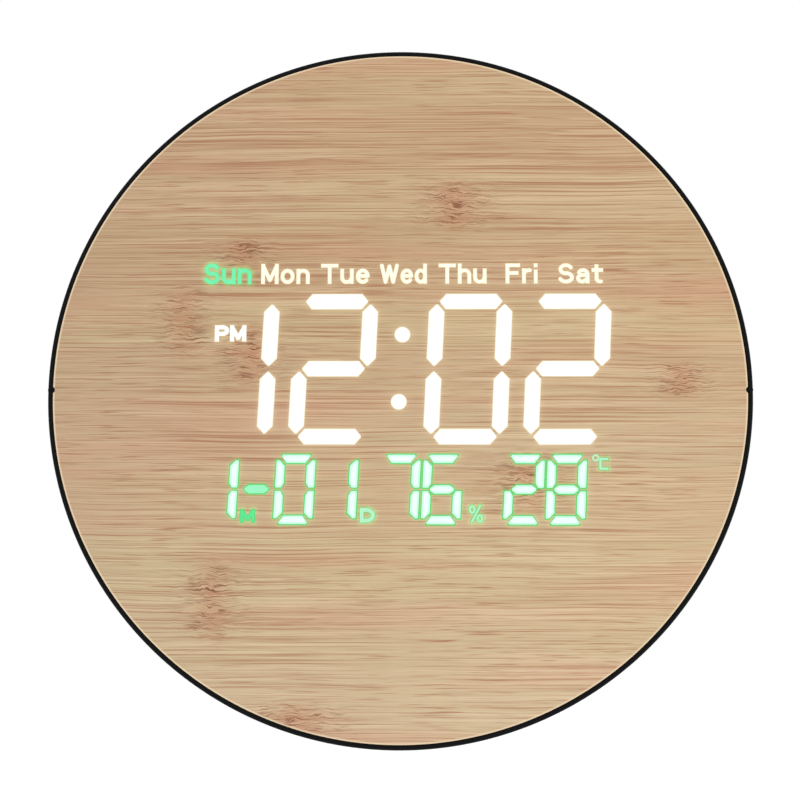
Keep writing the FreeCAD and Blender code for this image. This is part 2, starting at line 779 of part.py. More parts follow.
def make_leads():
    """Inner leads from the power and sensor boards, and the flat cable of the display."""
    lift = value("lead_level")
    face = value("parts_level")
    for label, x, low, high in (
            ("power_lead", value("inlet_x"), value("power_low") + 16, value("control_low") + 6),
            ("sensor_lead", value("sensor_x") + 4, value("sensor_z") + 4, value("control_low") + 5)):
        middle = (low + high) / 2
        points = [Vector(x, -face, low), Vector(x, -lift, low + 1), Vector(x + 5, -lift, middle - 4),
                  Vector(x + 4, -lift, middle + 6), Vector(x, -lift, high - 1),
                  Vector(x, -face, high)]
        path = rounded_path(points, value("lead_bend"))
        ring = Part.Wire(Part.makeCircle(value("lead_radius"), points[0], points[1] - points[0]))
        keep_shape(label, [swept(path, ring)])

    upper = value("display_level") - value("socket_depth") / 2
    lower = face + value("socket_depth") / 2
    low = value("ribbon_low") + 1
    high = value("ribbon_high") - 1
    points = [Vector(0, -upper, low), Vector(0, -upper, low + 9), Vector(0, -lower, high - 9),
              Vector(0, -lower, high)]
    half = value("ribbon_width") / 2
    wall = value("ribbon_wall") / 2
    corners = [Vector(a * half, -upper + b * wall, low) for a, b in ((-1, -1), (1, -1), (1, 1),
                                                                     (-1, 1))]
    band = Part.makePolygon(corners + corners[:1])
    keep_shape("display_ribbon", [swept(rounded_path(points, value("ribbon_bend")), band)])




# ---------------------------------------------------------------- rear cover

def button_spots():
    """Places of the four buttons."""
    return [(f"button_x + {index} * button_step", "button_z") for index in range(4)]


def control_spots():
    """Places of the control board's screws."""
    return four_spots("control_x", "control_z", "control_hole_x", "control_hole_z")


def power_spots():
    """Places of the power board's screws."""
    return [(f"inlet_x {side} (power_width / 2 - 3.2)", "power_z + power_height / 2 - 7.5")
            for side in "+-"]


def sensor_spots():
    """Places of the sensor board's screws."""
    return [(f"sensor_x {side} (sensor_width / 2 - 3.4)", "sensor_z") for side in "+-"]


def make_rear_cover():
    """Drum with a flat underside, a flange inside the rim, and everything moulded into it."""
    piece = Piece("rear_cover")
    piece.pad([dee("drum_radius", "flat_place")], "0", "cover_boss_level")
    piece.soften("drum_round", lambda edge: abs(edge.BoundBox.YMin) < 1e-4
                 and edge.BoundBox.YLength < 1e-4)
    piece.pad([disc("0", "0", "cover_outside")], "frame_level", "cover_wall")
    piece.cut([dee("drum_inside", "flat_inside")], "cover_wall", "cover_boss_level")
    hole = piece.cut([disc("0", "cover_screw_place", "screw_shank + screw_play")],
                     "frame_level", "cover_wall")
    piece.around([hole], 6)
    add_bosses(piece)
    add_keyhole(piece)
    add_button_holes(piece)
    add_lid_seat(piece)
    add_foot_recess(piece)
    add_inlet_and_vents(piece)


def add_bosses(piece):
    """Inner bosses for the three small boards, with blind holes for their screws."""
    spots = control_spots() + power_spots() + sensor_spots()
    piece.pad([disc(a, b, "boss_radius") for a, b in spots], "cover_wall", "boss_depth")
    piece.cut([disc(a, b, "screw_shank") for a, b in spots], "cover_wall + 0.6",
              "boss_depth - 0.6")


def add_keyhole(piece):
    """Hanging keyhole with a closed cup behind it."""
    tall = "keyhole_rise + 2 * (keyhole_radius + keyhole_room)"
    wide = "2 * (keyhole_radius + keyhole_room)"
    middle = "keyhole_z + keyhole_rise / 2"
    piece.pad([slab("0", middle, f"{wide} + 2 * keyhole_side", f"{tall} + 2 * keyhole_side")],
              "cover_wall", "keyhole_cup + keyhole_side")
    piece.cut([slab("0", middle, wide, tall)], "cover_wall", "keyhole_cup")
    piece.through([disc("0", "keyhole_z", "keyhole_radius")], "0", "cover_wall")
    piece.through([slab("0", middle, "keyhole_slot", "keyhole_rise")], "0", "cover_wall")
    piece.through([disc("0", "keyhole_z + keyhole_rise", "keyhole_slot / 2")], "0", "cover_wall")


def add_button_holes(piece):
    """Holes for the buttons and for the buzzer's sound."""
    piece.through([disc(a, b, "button_hole") for a, b in button_spots()], "0", "cover_wall")
    holes = [disc("buzzer_x", "buzzer_z", "0.8")]
    for index in range(6):
        turn = f"({index} * 60) * 1 deg"
        holes.append(disc(f"buzzer_x + 3.2 * cos({turn})", f"buzzer_z + 3.2 * sin({turn})", "0.8"))
    piece.through(holes, "0", "cover_wall")


def add_lid_seat(piece):
    """Seat for the twist-off lid: a counterbore, and a lip with three gaps for the lugs."""
    piece.cut([disc("cell_x", "cell_z", "lid_radius + lid_gap")], "0", "lid_seat")
    piece.through([disc("cell_x", "cell_z", "lid_hole")], "lid_seat", "lid_lip")
    for index in range(3):
        turn = f"({index} * 120 + 90 - lid_turn) * 1 deg"
        piece.through([disc(f"cell_x + (lug_tip - lug_width / 2) * cos({turn})",
                            f"cell_z + (lug_tip - lug_width / 2) * sin({turn})",
                            "lug_width / 2 + lid_gap")], "lid_seat", "lid_lip")


def add_foot_recess(piece):
    """Recess that the foot folds into, with cheeks that carry its pin."""
    high = "(recess_high + foot_cheek)"
    low = "(1 - flat_place)"
    piece.pad([slab("0", f"({high} + {low}) / 2", "2 * cheek_half", f"{high} - {low}")],
              "cover_wall", "recess_level + foot_floor - cover_wall")
    piece.cut([slab("0", "(recess_high + recess_low) / 2", "2 * recess_half",
                    "recess_high - recess_low")], "0", "recess_level")
    piece.cut([disc("0", "recess_high - foot_gap", "foot_grip")], "0", "recess_level")
    piece.cut([disc("0 - hinge_level", "hinge_z", "pin_radius")], "0 - recess_half - pin_end",
              "2 * (recess_half + pin_end)", SIDE)


def add_inlet_and_vents(piece):
    """Mouth for the power inlet in the flat underside, and slots that let air to the sensor."""
    piece.cut([slab("inlet_x", "0 - inlet_level - inlet_depth / 2", "inlet_width + 2 * inlet_gap",
                    "inlet_depth + 2 * inlet_gap")], "0 - flat_place - 1", "cover_wall + 1.5", BASE)
    slots = [slab("sensor_x", f"sensor_z + {index} * vent_step", "vent_length", "vent_width")
             for index in (-1, 0, 1)]
    piece.through(slots, "0", "cover_wall")


def make_cover_screws():
    """Six screws through the cover's flange into the front frame."""
    piece = Piece("cover_screws")
    head = piece.pad([disc("0", "cover_screw_place", "screw_head")],
                     "frame_level - screw_head_depth", "screw_head_depth")
    shank = piece.pad([disc("0", "cover_screw_place", "screw_shank")], "frame_level",
                      "cover_wall + screw_bite")
    slot = piece.cut([slab("0", "cover_screw_place", "screw_head * 1.1", "screw_head / 4")],
                     "frame_level - screw_head_depth", "screw_head_depth / 2")
    piece.around([head, shank, slot], 6)


# ---------------------------------------------------------------- control board

def make_control_board():
    """Board with the clock's controller, regulator, buzzer, switches and cell holder."""
    board("control_board", "control_x", "control_z", "control_width", "control_height",
          control_spots())
    screws_towards_wall("control_screws", control_spots())
    face = value("parts_level")
    x = value("control_x")
    z = value("control_z")
    keep_shape("microcontroller", [chip(x - 6, z, 10, 10, face, 1.4)])
    keep_shape("crystal_can", [chip(x + 6, z + 1, 7, 2.2, face, 2.0)])
    keep_shape("voltage_regulator", [chip(x - 40, z + 6, 6.5, 3.5, face, 1.6)])
    cans = []
    for across in (-46, 40):
        cans.append(Part.makeCylinder(2, 3.4, Vector(x + across, -face, z + 14), OUTWARD))
    keep_shape("capacitors", cans)
    small = []
    for row in range(2):
        for column in range(9):
            small.append(chip(x - 24 + 6 * column, z + 12 + 4 * row, 2, 1.25, face, 0.8))
    keep_shape("board_passives", small)

    socket = Piece("control_socket")
    socket.pad([slab("0", "ribbon_high", "ribbon_width + 6", "socket_height")], "parts_level",
               "socket_depth")
    socket.cut([slab("0", "ribbon_high - socket_height / 2", "ribbon_width + 0.4", "4")],
               "parts_level + socket_depth / 2 - ribbon_wall / 2 - 0.05", "ribbon_wall + 0.1")

    buzzer = Piece("buzzer")
    buzzer.pad([disc("buzzer_x", "buzzer_z", "buzzer_radius")], "board_level - buzzer_depth",
               "buzzer_depth")
    buzzer.cut([disc("buzzer_x", "buzzer_z", "1.2")], "board_level - buzzer_depth", "1.5")

    bodies = Piece("switch_bodies")
    bodies.pad([slab(a, b, "switch_side", "switch_side") for a, b in button_spots()],
               "switch_level", "switch_depth")
    bodies.cut([disc(a, b, "plunger_radius + plunger_gap") for a, b in button_spots()],
               "switch_level", "switch_well")


def make_buttons():
    """Four round buttons, each on the plunger of its switch."""
    for name, (x, z) in zip(("mode", "set", "up", "down"), button_spots()):
        button = Piece(name + "_button")
        button.pad([disc(x, z, "button_radius")], "button_sink", "collar_level - button_sink")
        button.soften("button_radius / 10", hoop("button_radius", "button_sink"))
        button.pad([disc(x, z, "button_radius + button_collar")], "collar_level",
                   "button_collar_wall")
        plunger = Piece(name + "_plunger")
        plunger.pad([disc(x, z, "plunger_radius")], "plunger_level",
                    "switch_level + plunger_sunk - plunger_level")


# ---------------------------------------------------------------- back-up cell

def make_cell():
    """Coin cell in a holder, with a spring under it and a clip at its side."""
    holder = Piece("cell_holder")
    holder.pad([disc("cell_x", "cell_z", "holder_outside"), disc("cell_x", "cell_z",
                                                                 "holder_inside")],
               "holder_level", "board_level - holder_level")
    holder.cut([slab("cell_x", "cell_z + holder_outside", "5", "2 * holder_wall + 2")],
               "holder_level", "board_level - holder_level")
    cell = Piece("coin_cell")
    cell.pad([disc("cell_x", "cell_z", "cell_radius")], "cell_level", "cell_depth * 0.75")
    cell.pad([disc("cell_x", "cell_z", "cell_radius * 0.88")], "cell_level + cell_depth * 0.75",
             "cell_depth * 0.25")
    spring = Piece("cell_contact_minus")
    spring.pad([slab("cell_x", "cell_z", "10", "4")], "cell_level + cell_depth",
               "board_level - cell_level - cell_depth")
    clip = Piece("cell_contact_plus")
    clip.pad([slab("cell_x", "cell_z + cell_radius + 0.4", "4", "0.8")],
             "holder_level", "board_level - holder_level")


def make_battery_lid():
    """Twist-off lid: flange, skirt, three lugs and a slot for a coin."""
    piece = Piece("battery_lid")
    piece.pad([disc("cell_x", "cell_z", "lid_radius")], "lid_sink", "lid_wall")
    piece.pad([disc("cell_x", "cell_z", "skirt_radius"),
               disc("cell_x", "cell_z", "skirt_radius - skirt_wall")], "skirt_level",
              "skirt_depth")
    for index in range(3):
        turn = f"({index} * 120 + 90) * 1 deg"
        lug = disc(f"cell_x + (lug_tip - lug_width / 2) * cos({turn})",
                   f"cell_z + (lug_tip - lug_width / 2) * sin({turn})", "lug_width / 2")
        piece.pad([lug], "lug_level", "lug_depth")
    piece.cut([disc("cell_x", "cell_z", "skirt_radius - skirt_wall")], "skirt_level", "skirt_depth")
    piece.cut([slab("cell_x", "cell_z", "16", "1.8")], "lid_sink", "lid_wall * 0.6")


# ---------------------------------------------------------------- folding foot

def make_foot():
    """Foot that swings out of the back about a pin, with a rubber sole near its tip."""
    foot = Piece("stand_foot")
    foot.pad([slab("0", "hinge_z + foot_length / 2", "foot_width", "foot_length")], "foot_level",
             "foot_wall")
    foot.soften("foot_width / 6", lambda edge: max(edge.BoundBox.XLength, edge.BoundBox.ZLength)
                < 1e-4 and edge.BoundBox.ZMin > value("hinge_z") + 1)
    foot.pad([disc("0 - hinge_level", "hinge_z", "foot_wall / 2 + 0.2")], "0 - foot_width / 2",
             "foot_width", SIDE)
    foot.cut([disc("0 - hinge_level", "hinge_z", "pin_radius + pin_play")], "0 - foot_width / 2",
             "foot_width", SIDE)
    foot.cut([slab("0", "hinge_z + foot_length / 2 - 2", "foot_width - 14", "foot_length - 32")],
             "foot_level + foot_wall - 1.6", "1.6")
    foot.cut([slab("0", "sole_z", "sole_width", "sole_height")], "foot_level",
             "sole_wall - sole_stand")
    pin = Piece("stand_pin")
    pin.pad([disc("0 - hinge_level", "hinge_z", "pin_radius")], "0 - recess_half - pin_end",
            "2 * (recess_half + pin_end)", SIDE)
    sole = Piece("stand_pad")
    sole.pad([slab("0", "sole_z", "sole_width", "sole_height")], "sole_level", "sole_wall")


# ---------------------------------------------------------------- power inlet and air sensor

def make_power_inlet():
    """Small board with the power socket whose mouth is in the flat underside."""
    board("power_board", "inlet_x", "power_z", "power_width", "power_height", power_spots())
    screws_towards_wall("power_screws", power_spots())
    shell = Piece("usb_socket")
    middle = "0 - inlet_level - inlet_depth / 2"
    shell.pad([slab("inlet_x", middle, "inlet_width", "inlet_depth")], "inlet_end",
              "inlet_length", BASE)
    shell.soften("inlet_depth * 0.4", lambda edge: max(edge.BoundBox.XLength,
                                                       edge.BoundBox.YLength) < 1e-4)
    shell.cut([slab("inlet_x", middle, "inlet_width - 4 * inlet_wall",
                    "inlet_depth - 2 * inlet_wall")], "inlet_end", "inlet_length - 0.8", BASE)
    tongue = Piece("usb_tongue")
    tongue.pad([slab("inlet_x", middle, "inlet_width - 2.6", "0.7")], "inlet_end + 0.6",
               "inlet_length - 1.4", BASE)


def make_air_sensor():
    """Humidity and temperature sensor over the vent slots."""
    board("sensor_board", "sensor_x", "sensor_z", "sensor_width", "sensor_height", sensor_spots())
    screws_towards_wall("sensor_screws", sensor_spots())
    sensor = Piece("humidity_sensor")
    sensor.pad([slab("sensor_x", "sensor_z", "6", "6")], "board_level - 2.2", "2.2")
    sensor.cut([disc("sensor_x", "sensor_z", "1")], "board_level - 2.2", "0.6")


# ---------------------------------------------------------------- build, test and write

NOT_NODES = ("light_blank", "light_wells")


def check_document():
    """Stop if any object of the document failed."""
    for item in doc.Objects:
        bad = [state for state in item.State if state in ("Invalid", "Error")]
        if bad:
            raise RuntimeError(f"{item.Label} is {bad[0]}")


def sub_parts():
    """Every object that is a piece of the clock."""
    kinds = ("PartDesign::Body", "Part::Feature", "Part::Cut")
    found = [item for item in doc.Objects if item.TypeId in kinds]
    return [item for item in found if item.Label not in NOT_NODES]


def write_parts():
    """Test each sub-part's shape, then write it to its own file."""
    items = sub_parts()
    for item in items:
        if item.Shape.isNull() or not item.Shape.isValid() or not item.Shape.Solids:
            raise RuntimeError(item.Label + " has no valid shape")
    os.makedirs("parts", exist_ok=True)
    for item in items:
        item.Shape.exportStep(os.path.join("parts", item.Label + ".step"))
    print(len(items), "sub-parts written")


make_front_frame()
make_face()
make_light_block()
make_display()
make_rear_cover()
make_cover_screws()
make_control_board()
make_buttons()
make_cell()
make_battery_lid()
make_foot()
make_power_inlet()
make_air_sensor()
make_leads()
doc.recompute()
check_document()
write_parts()
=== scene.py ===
"""Looks of the alarm clock: bamboo-grain face with a lit display, charcoal rim, black back.

Lengths are in metres. Places on the clock are given in millimetres as (across, up) on the face
and a level, the height above the wall, and `at` turns them into a point of the frame.
"""
import json
import math

import bmesh
import bpy
import numpy as np
from mathutils import Matrix, Vector
from mathutils.geometry import delaunay_2d_cdt


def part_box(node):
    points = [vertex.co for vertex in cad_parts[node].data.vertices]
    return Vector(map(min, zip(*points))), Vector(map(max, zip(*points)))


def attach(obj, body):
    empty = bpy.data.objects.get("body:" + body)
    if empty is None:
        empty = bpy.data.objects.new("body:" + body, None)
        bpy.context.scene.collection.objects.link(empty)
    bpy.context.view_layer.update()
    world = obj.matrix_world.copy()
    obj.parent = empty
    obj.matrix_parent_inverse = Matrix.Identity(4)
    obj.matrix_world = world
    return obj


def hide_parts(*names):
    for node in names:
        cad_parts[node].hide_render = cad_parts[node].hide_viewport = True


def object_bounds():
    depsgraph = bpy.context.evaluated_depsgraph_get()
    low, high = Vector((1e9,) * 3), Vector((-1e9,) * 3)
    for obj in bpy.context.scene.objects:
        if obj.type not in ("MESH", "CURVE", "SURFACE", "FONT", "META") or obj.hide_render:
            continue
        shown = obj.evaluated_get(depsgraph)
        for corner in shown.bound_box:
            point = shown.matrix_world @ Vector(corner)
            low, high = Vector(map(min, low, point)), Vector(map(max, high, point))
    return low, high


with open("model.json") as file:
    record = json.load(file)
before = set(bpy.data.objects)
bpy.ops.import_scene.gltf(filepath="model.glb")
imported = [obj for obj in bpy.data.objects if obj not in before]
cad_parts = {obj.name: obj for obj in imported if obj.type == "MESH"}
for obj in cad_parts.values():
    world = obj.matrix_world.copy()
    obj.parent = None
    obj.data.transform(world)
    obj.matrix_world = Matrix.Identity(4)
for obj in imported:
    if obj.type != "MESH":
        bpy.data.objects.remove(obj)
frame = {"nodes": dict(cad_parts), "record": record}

CAD_BOUNDS = [list(corner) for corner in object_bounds()]
MM = 0.001


def at(across, up, level):
    """A point of the frame, from its place on the clock in millimetres."""
    return Vector((across * MM, -level * MM, up * MM))


def levels(node):
    """Lowest and highest level of a CAD node, in millimetres."""
    low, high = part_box(node)
    return -high.y / MM, -low.y / MM


RIM_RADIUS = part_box("front_frame")[1].x / MM
FRAME_LEVEL, RIM_LEVEL = levels("front_frame")
FILM_BACK, FILM_LEVEL = levels("wood_grain_film")
FILM_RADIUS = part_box("wood_grain_film")[1].z / MM
FACE_HALF = 0.125
RIM_WALL = 1.8
KEY_RADIUS = 1.25
KEY_SINK = 0.45


# ---------------------------------------------------------------- node helpers

class Nodes:
    """A short way to write a material's node tree."""

    def __init__(self, name):
        self.material = bpy.data.materials.new(name)
        self.material.use_nodes = True
        self.tree = self.material.node_tree
        self.shader = self.tree.nodes["Principled BSDF"]

    def add(self, kind, **settings):
        node = self.tree.nodes.new("ShaderNode" + kind)
        for key, setting in settings.items():
            setattr(node, key, setting)
        return node

    def link(self, source, target):
        self.tree.links.new(source, target)

    def place(self):
        """A point of the object, in metres."""
        return self.add("TexCoord").outputs["Object"]

    def noise(self, scale, detail=4.0, roughness=0.55, distortion=0.0, stretch=(1, 1, 1),
              place=None):
        """Noise of this many features to a metre, times the stretch along each axis."""
        mapping = self.add("Mapping")
        mapping.inputs["Scale"].default_value = [scale * part for part in stretch]
        self.link(place or self.place(), mapping.inputs["Vector"])
        noise = self.add("TexNoise")
        noise.inputs["Scale"].default_value = 1.0
        noise.inputs["Detail"].default_value = detail
        noise.inputs["Roughness"].default_value = roughness
        noise.inputs["Distortion"].default_value = distortion
        self.link(mapping.outputs["Vector"], noise.inputs["Vector"])
        return noise.outputs["Fac"]

    def ramp(self, source, stops):
        """Colours between stops of (position, tone)."""
        ramp = self.add("ValToRGB")
        elements = ramp.color_ramp.elements
        while len(elements) < len(stops):
            elements.new(0.5)
        for element, (position, tone) in zip(elements, stops):
            element.position = position
            element.color = (*tone, 1)
        self.link(source, ramp.inputs["Fac"])
        return ramp.outputs["Color"]

    def steps(self, source, low, high, out_low=0.0, out_high=1.0):
        """Map one range onto another, held at its ends."""
        node = self.add("MapRange")
        for name, number in (("From Min", low), ("From Max", high), ("To Min", out_low),
                             ("To Max", out_high)):
            node.inputs[name].default_value = number
        self.link(source, node.inputs["Value"])
        return node.outputs["Result"]

    def maths(self, operation, first, second):
        node = self.add("Math", operation=operation)
        for socket, item in zip(node.inputs, (first, second)):
            if isinstance(item, (int, float)):
                socket.default_value = item
            else:
                self.link(item, socket)
        return node.outputs["Value"]

    def mix(self, factor, first, second, blend="MIX"):
        node = self.add("Mix", data_type="RGBA", blend_type=blend)
        for socket, item in ((node.inputs[0], factor), (node.inputs[6], first),
                             (node.inputs[7], second)):
            if isinstance(item, (int, float)):
                socket.default_value = item
            elif isinstance(item, tuple):
                socket.default_value = (*item, 1)
            else:
                self.link(item, socket)
        return node.outputs[2]

    def bump(self, height, distance, strength=1.0):
        """Give the surface a relief this deep, in metres."""
        node = self.add("Bump")
        node.inputs["Distance"].default_value = distance
        node.inputs["Strength"].default_value = strength
        self.link(height, node.inputs["Height"])
        self.link(node.outputs["Normal"], self.shader.inputs["Normal"])


def colour(red, green, blue):
    """A colour as seen on a screen, from 0 to 255, turned into linear light."""
    parts = []
    for part in (red, green, blue):
        part = part / 255
        parts.append(part / 12.92 if part < 0.04045 else ((part + 0.055) / 1.055) ** 2.4)
    return tuple(parts)


def shade(tone, factor):
    """A colour made lighter or darker."""
    return tuple(min(1.0, part * factor) for part in tone)


# ---------------------------------------------------------------- materials

def moulded(name, tone, roughness=0.5, grain=2600, depth=0.00003, specular=0.4):
    """Moulded plastic with a fine spark-eroded texture and slight mottling."""
    nodes = Nodes(name)
    mottle = nodes.noise(60, 3)
    nodes.link(nodes.ramp(mottle, [(0.35, shade(tone, 0.86)), (0.7, shade(tone, 1.14))]),
               nodes.shader.inputs["Base Color"])
    fine = nodes.noise(grain, 2)
    nodes.link(nodes.steps(mottle, 0.3, 0.7, roughness - 0.06, roughness + 0.06),
               nodes.shader.inputs["Roughness"])
    nodes.shader.inputs["Specular IOR Level"].default_value = specular
    nodes.bump(fine, depth, 0.6)
    return nodes.material


def metal(name, tone, roughness=0.3, stretch=(1, 1, 12)):
    """Bright metal with fine drawn lines."""
    nodes = Nodes(name)
    lines = nodes.noise(900, 3, stretch=stretch)
    nodes.link(nodes.ramp(lines, [(0.3, shade(tone, 0.85)), (0.7, shade(tone, 1.1))]),
               nodes.shader.inputs["Base Color"])
    nodes.link(nodes.steps(lines, 0.3, 0.7, roughness - 0.08, roughness + 0.1),
               nodes.shader.inputs["Roughness"])
    nodes.shader.inputs["Metallic"].default_value = 1.0
    nodes.bump(lines, 0.00001, 0.4)
    return nodes.material


def rubber(name, tone):
    """Soft rubber with a dusty bloom."""
    nodes = Nodes(name)
    bloom = nodes.noise(240, 5)
    nodes.link(nodes.ramp(bloom, [(0.4, shade(tone, 0.8)), (0.75, shade(tone, 1.5))]),
               nodes.shader.inputs["Base Color"])
    nodes.shader.inputs["Roughness"].default_value = 0.85
    nodes.bump(nodes.noise(3200, 2), 0.00002, 0.5)
    return nodes.material


def circuit(name, tone):
    """Solder mask over copper tracks."""
    nodes = Nodes(name)
    mapping = nodes.add("Mapping")
    mapping.inputs["Scale"].default_value = (420, 420, 420)
    nodes.link(nodes.place(), mapping.inputs["Vector"])
    cells = nodes.add("TexVoronoi", feature="DISTANCE_TO_EDGE", distance="MANHATTAN")
    cells.inputs["Scale"].default_value = 1.0
    nodes.link(mapping.outputs["Vector"], cells.inputs["Vector"])
    track = nodes.steps(cells.outputs["Distance"], 0.02, 0.06)
    nodes.link(nodes.mix(track, shade(tone, 2.0), tone), nodes.shader.inputs["Base Color"])
    nodes.shader.inputs["Roughness"].default_value = 0.35
    nodes.bump(track, 0.00002, 0.4)
    return nodes.material


def lit(name, tone, strength, unlit):
    """Light shining through the film, a little uneven from lamp to lamp."""
    nodes = Nodes(name)
    cloud = nodes.noise(160, 2)
    nodes.link(nodes.ramp(cloud, [(0.3, shade(tone, 0.93)), (0.7, tone)]),
               nodes.shader.inputs["Emission Color"])
    nodes.shader.inputs["Emission Strength"].default_value = strength
    nodes.link(nodes.ramp(cloud, [(0.3, shade(unlit, 0.9)), (0.7, unlit)]),
               nodes.shader.inputs["Base Color"])
    nodes.shader.inputs["Roughness"].default_value = 0.8
    nodes.shader.inputs["Specular IOR Level"].default_value = 0.0
    return nodes.material


# Boundaries of the bamboo strips from the bottom up, with the tone of each strip.
STRIPS = [(-125, (203, 175, 135)), (-97, (201, 174, 132)), (-74, (201, 177, 133)),
          (-52, (200, 170, 129)), (-28, (198, 172, 132)), (-5, (195, 166, 126)),
          (16, (197, 173, 129)), (33, (192, 159, 119)), (45, (191, 161, 119)),
          (62, (200, 174, 132)), (79, (193, 160, 120)), (104, (198, 172, 130))]
PALE_FIBRE = (216, 190, 148)
BRIGHT_FIBRE = (232, 203, 164)
PINK_FIBRE = (208, 158, 124)
STREAK = (170, 118, 84)
KNOT_TINT = (194, 134, 98)
DARK_FIBRE = (134, 84, 56)
PALE_EDGE = (226, 204, 170)
STRIP_BLEND = 0.002
# Painted light: how the tone of the face changes from its bottom to its top, and from left to
# right, as the light falls on it.
PAINTED_LIGHT_FALL = [(0.0, (0.90, 0.95, 1.05)), (0.4, (0.86, 0.87, 0.93)), (1.0, (0.82, 0.80, 0.84))]
PAINTED_SIDE_LIGHT = [(0.0, (0.87, 0.87, 0.89)), (0.35, (0.93, 0.93, 0.93)), (1.0, (1.0, 1.0, 1.0))]
WHITE_SHINE = (1.0, 0.82, 0.42)
GREEN_SHINE = (0.06, 0.72, 0.13)


def bamboo():
    """Printed bamboo: glued strips, long fibres, knots, painted light that dims the face towards
    its top and its left, and light from the display around it.
    """
    nodes = Nodes("bamboo_print")
    place = nodes.place()
    parts = nodes.add("SeparateXYZ")
    nodes.link(place, parts.inputs["Vector"])
    across, up = parts.outputs["X"], parts.outputs["Z"]

    knot = nodes.add("Attribute", attribute_name="knot").outputs["Fac"]
    near_knot = nodes.add("Attribute", attribute_name="near_knot").outputs["Fac"]
    waver = nodes.steps(nodes.noise(1, 2, stretch=(9, 1, 20)), 0.2, 0.8, -0.0012, 0.0012)
    curl = nodes.steps(nodes.noise(1, 2, stretch=(170, 1, 260)), 0.3, 0.7, -0.0009, 0.0009)
    bend = nodes.maths("ADD", waver, nodes.maths("MULTIPLY", curl, near_knot))
    bent = nodes.add("CombineXYZ")
    nodes.link(across, bent.inputs["X"])
    nodes.link(nodes.maths("ADD", up, bend), bent.inputs["Z"])
    grain = bent.outputs["Vector"]

    height = nodes.steps(nodes.maths("ADD", up, waver), -FACE_HALF, FACE_HALF)
    stops = []
    for low, tone in STRIPS:
        edge = (low + 125) / 250
        if stops:
            stops.append((edge - STRIP_BLEND, stops[-1][1]))
        stops.append((edge + STRIP_BLEND, colour(*tone)))
    strips = nodes.ramp(height, stops)

    broad = nodes.noise(1, 2, 0.5, stretch=(6, 1, 70), place=grain)
    cloud = nodes.noise(1, 3, 0.6, stretch=(16, 1, 36), place=grain)
    soft = nodes.noise(1, 3, 0.6, stretch=(7, 1, 420), place=grain)
    lines = nodes.noise(1, 2, 0.6, stretch=(9, 1, 1900), place=grain)
    dashes = nodes.noise(1, 2, 0.6, stretch=(45, 1, 2100), place=grain)
    flecks = nodes.noise(1, 2, 0.6, 0.3, stretch=(120, 1, 1900), place=grain)

    tone = nodes.mix(nodes.steps(soft, 0.35, 0.7, 0.0, 0.45), strips, colour(*PALE_FIBRE))
    tone = nodes.mix(nodes.steps(broad, 0.5, 0.68, 0.0, 0.5), tone, colour(*PINK_FIBRE))
    tone = nodes.mix(nodes.steps(lines, 0.47, 0.36, 0.0, 0.45), tone, colour(*BRIGHT_FIBRE))
    crowd = nodes.steps(cloud, 0.40, 0.56, 0.3, 1.0)
    long_part = nodes.maths("MULTIPLY", nodes.steps(lines, 0.525, 0.63, 0.0, 0.85), crowd)
    tone = nodes.mix(long_part, tone, colour(*STREAK))
    short_part = nodes.maths("MULTIPLY", nodes.steps(dashes, 0.54, 0.64, 0.0, 0.9),
                             nodes.maths("SUBTRACT", 1.3, crowd))
    tone = nodes.mix(short_part, tone, colour(*STREAK))
    tone = nodes.mix(nodes.maths("MULTIPLY", knot, 0.42), tone, colour(*KNOT_TINT))
    fleck = nodes.maths("MULTIPLY", nodes.steps(flecks, 0.52, 0.6, 0.0, 1.0),
                        nodes.steps(near_knot, 0.0, 1.0, 0.0, 0.9))
    tone = nodes.mix(fleck, tone, colour(*DARK_FIBRE))

    # Painted light: the face is darker towards its left side.
    side = nodes.ramp(nodes.steps(across, -FACE_HALF, FACE_HALF), PAINTED_SIDE_LIGHT)
    tone = nodes.mix(1.0, tone, side, "MULTIPLY")
    # Painted light: the face is darker towards its top and cooler at its bottom.
    painted_fall = nodes.ramp(height, PAINTED_LIGHT_FALL)
    tone = nodes.mix(1.0, tone, painted_fall, "MULTIPLY")

    reach = nodes.add("VectorMath", operation="LENGTH")
    flat = nodes.add("CombineXYZ")
    nodes.link(across, flat.inputs["X"])
    nodes.link(up, flat.inputs["Z"])
    nodes.link(flat.outputs["Vector"], reach.inputs[0])
    rim = nodes.steps(reach.outputs["Value"], (FILM_RADIUS - 0.75) * MM,
                      (FILM_RADIUS - 0.25) * MM)
    tone = nodes.mix(nodes.maths("MULTIPLY", rim, 0.8), tone, colour(*PALE_EDGE))
    nodes.link(tone, nodes.shader.inputs["Base Color"])

    white = nodes.add("Attribute", attribute_name="white_glow").outputs["Fac"]
    green = nodes.add("Attribute", attribute_name="green_glow").outputs["Fac"]
    shine = nodes.mix(white, (0.0, 0.0, 0.0), WHITE_SHINE)
    shine = nodes.mix(green, shine, GREEN_SHINE, "ADD")
    nodes.link(shine, nodes.shader.inputs["Emission Color"])
    nodes.shader.inputs["Emission Strength"].default_value = 1.0
    nodes.link(nodes.steps(lines, 0.4, 0.7, 0.46, 0.6), nodes.shader.inputs["Roughness"])
    nodes.shader.inputs["Specular IOR Level"].default_value = 0.2
    nodes.bump(lines, 0.00001, 0.3)
    return nodes.material


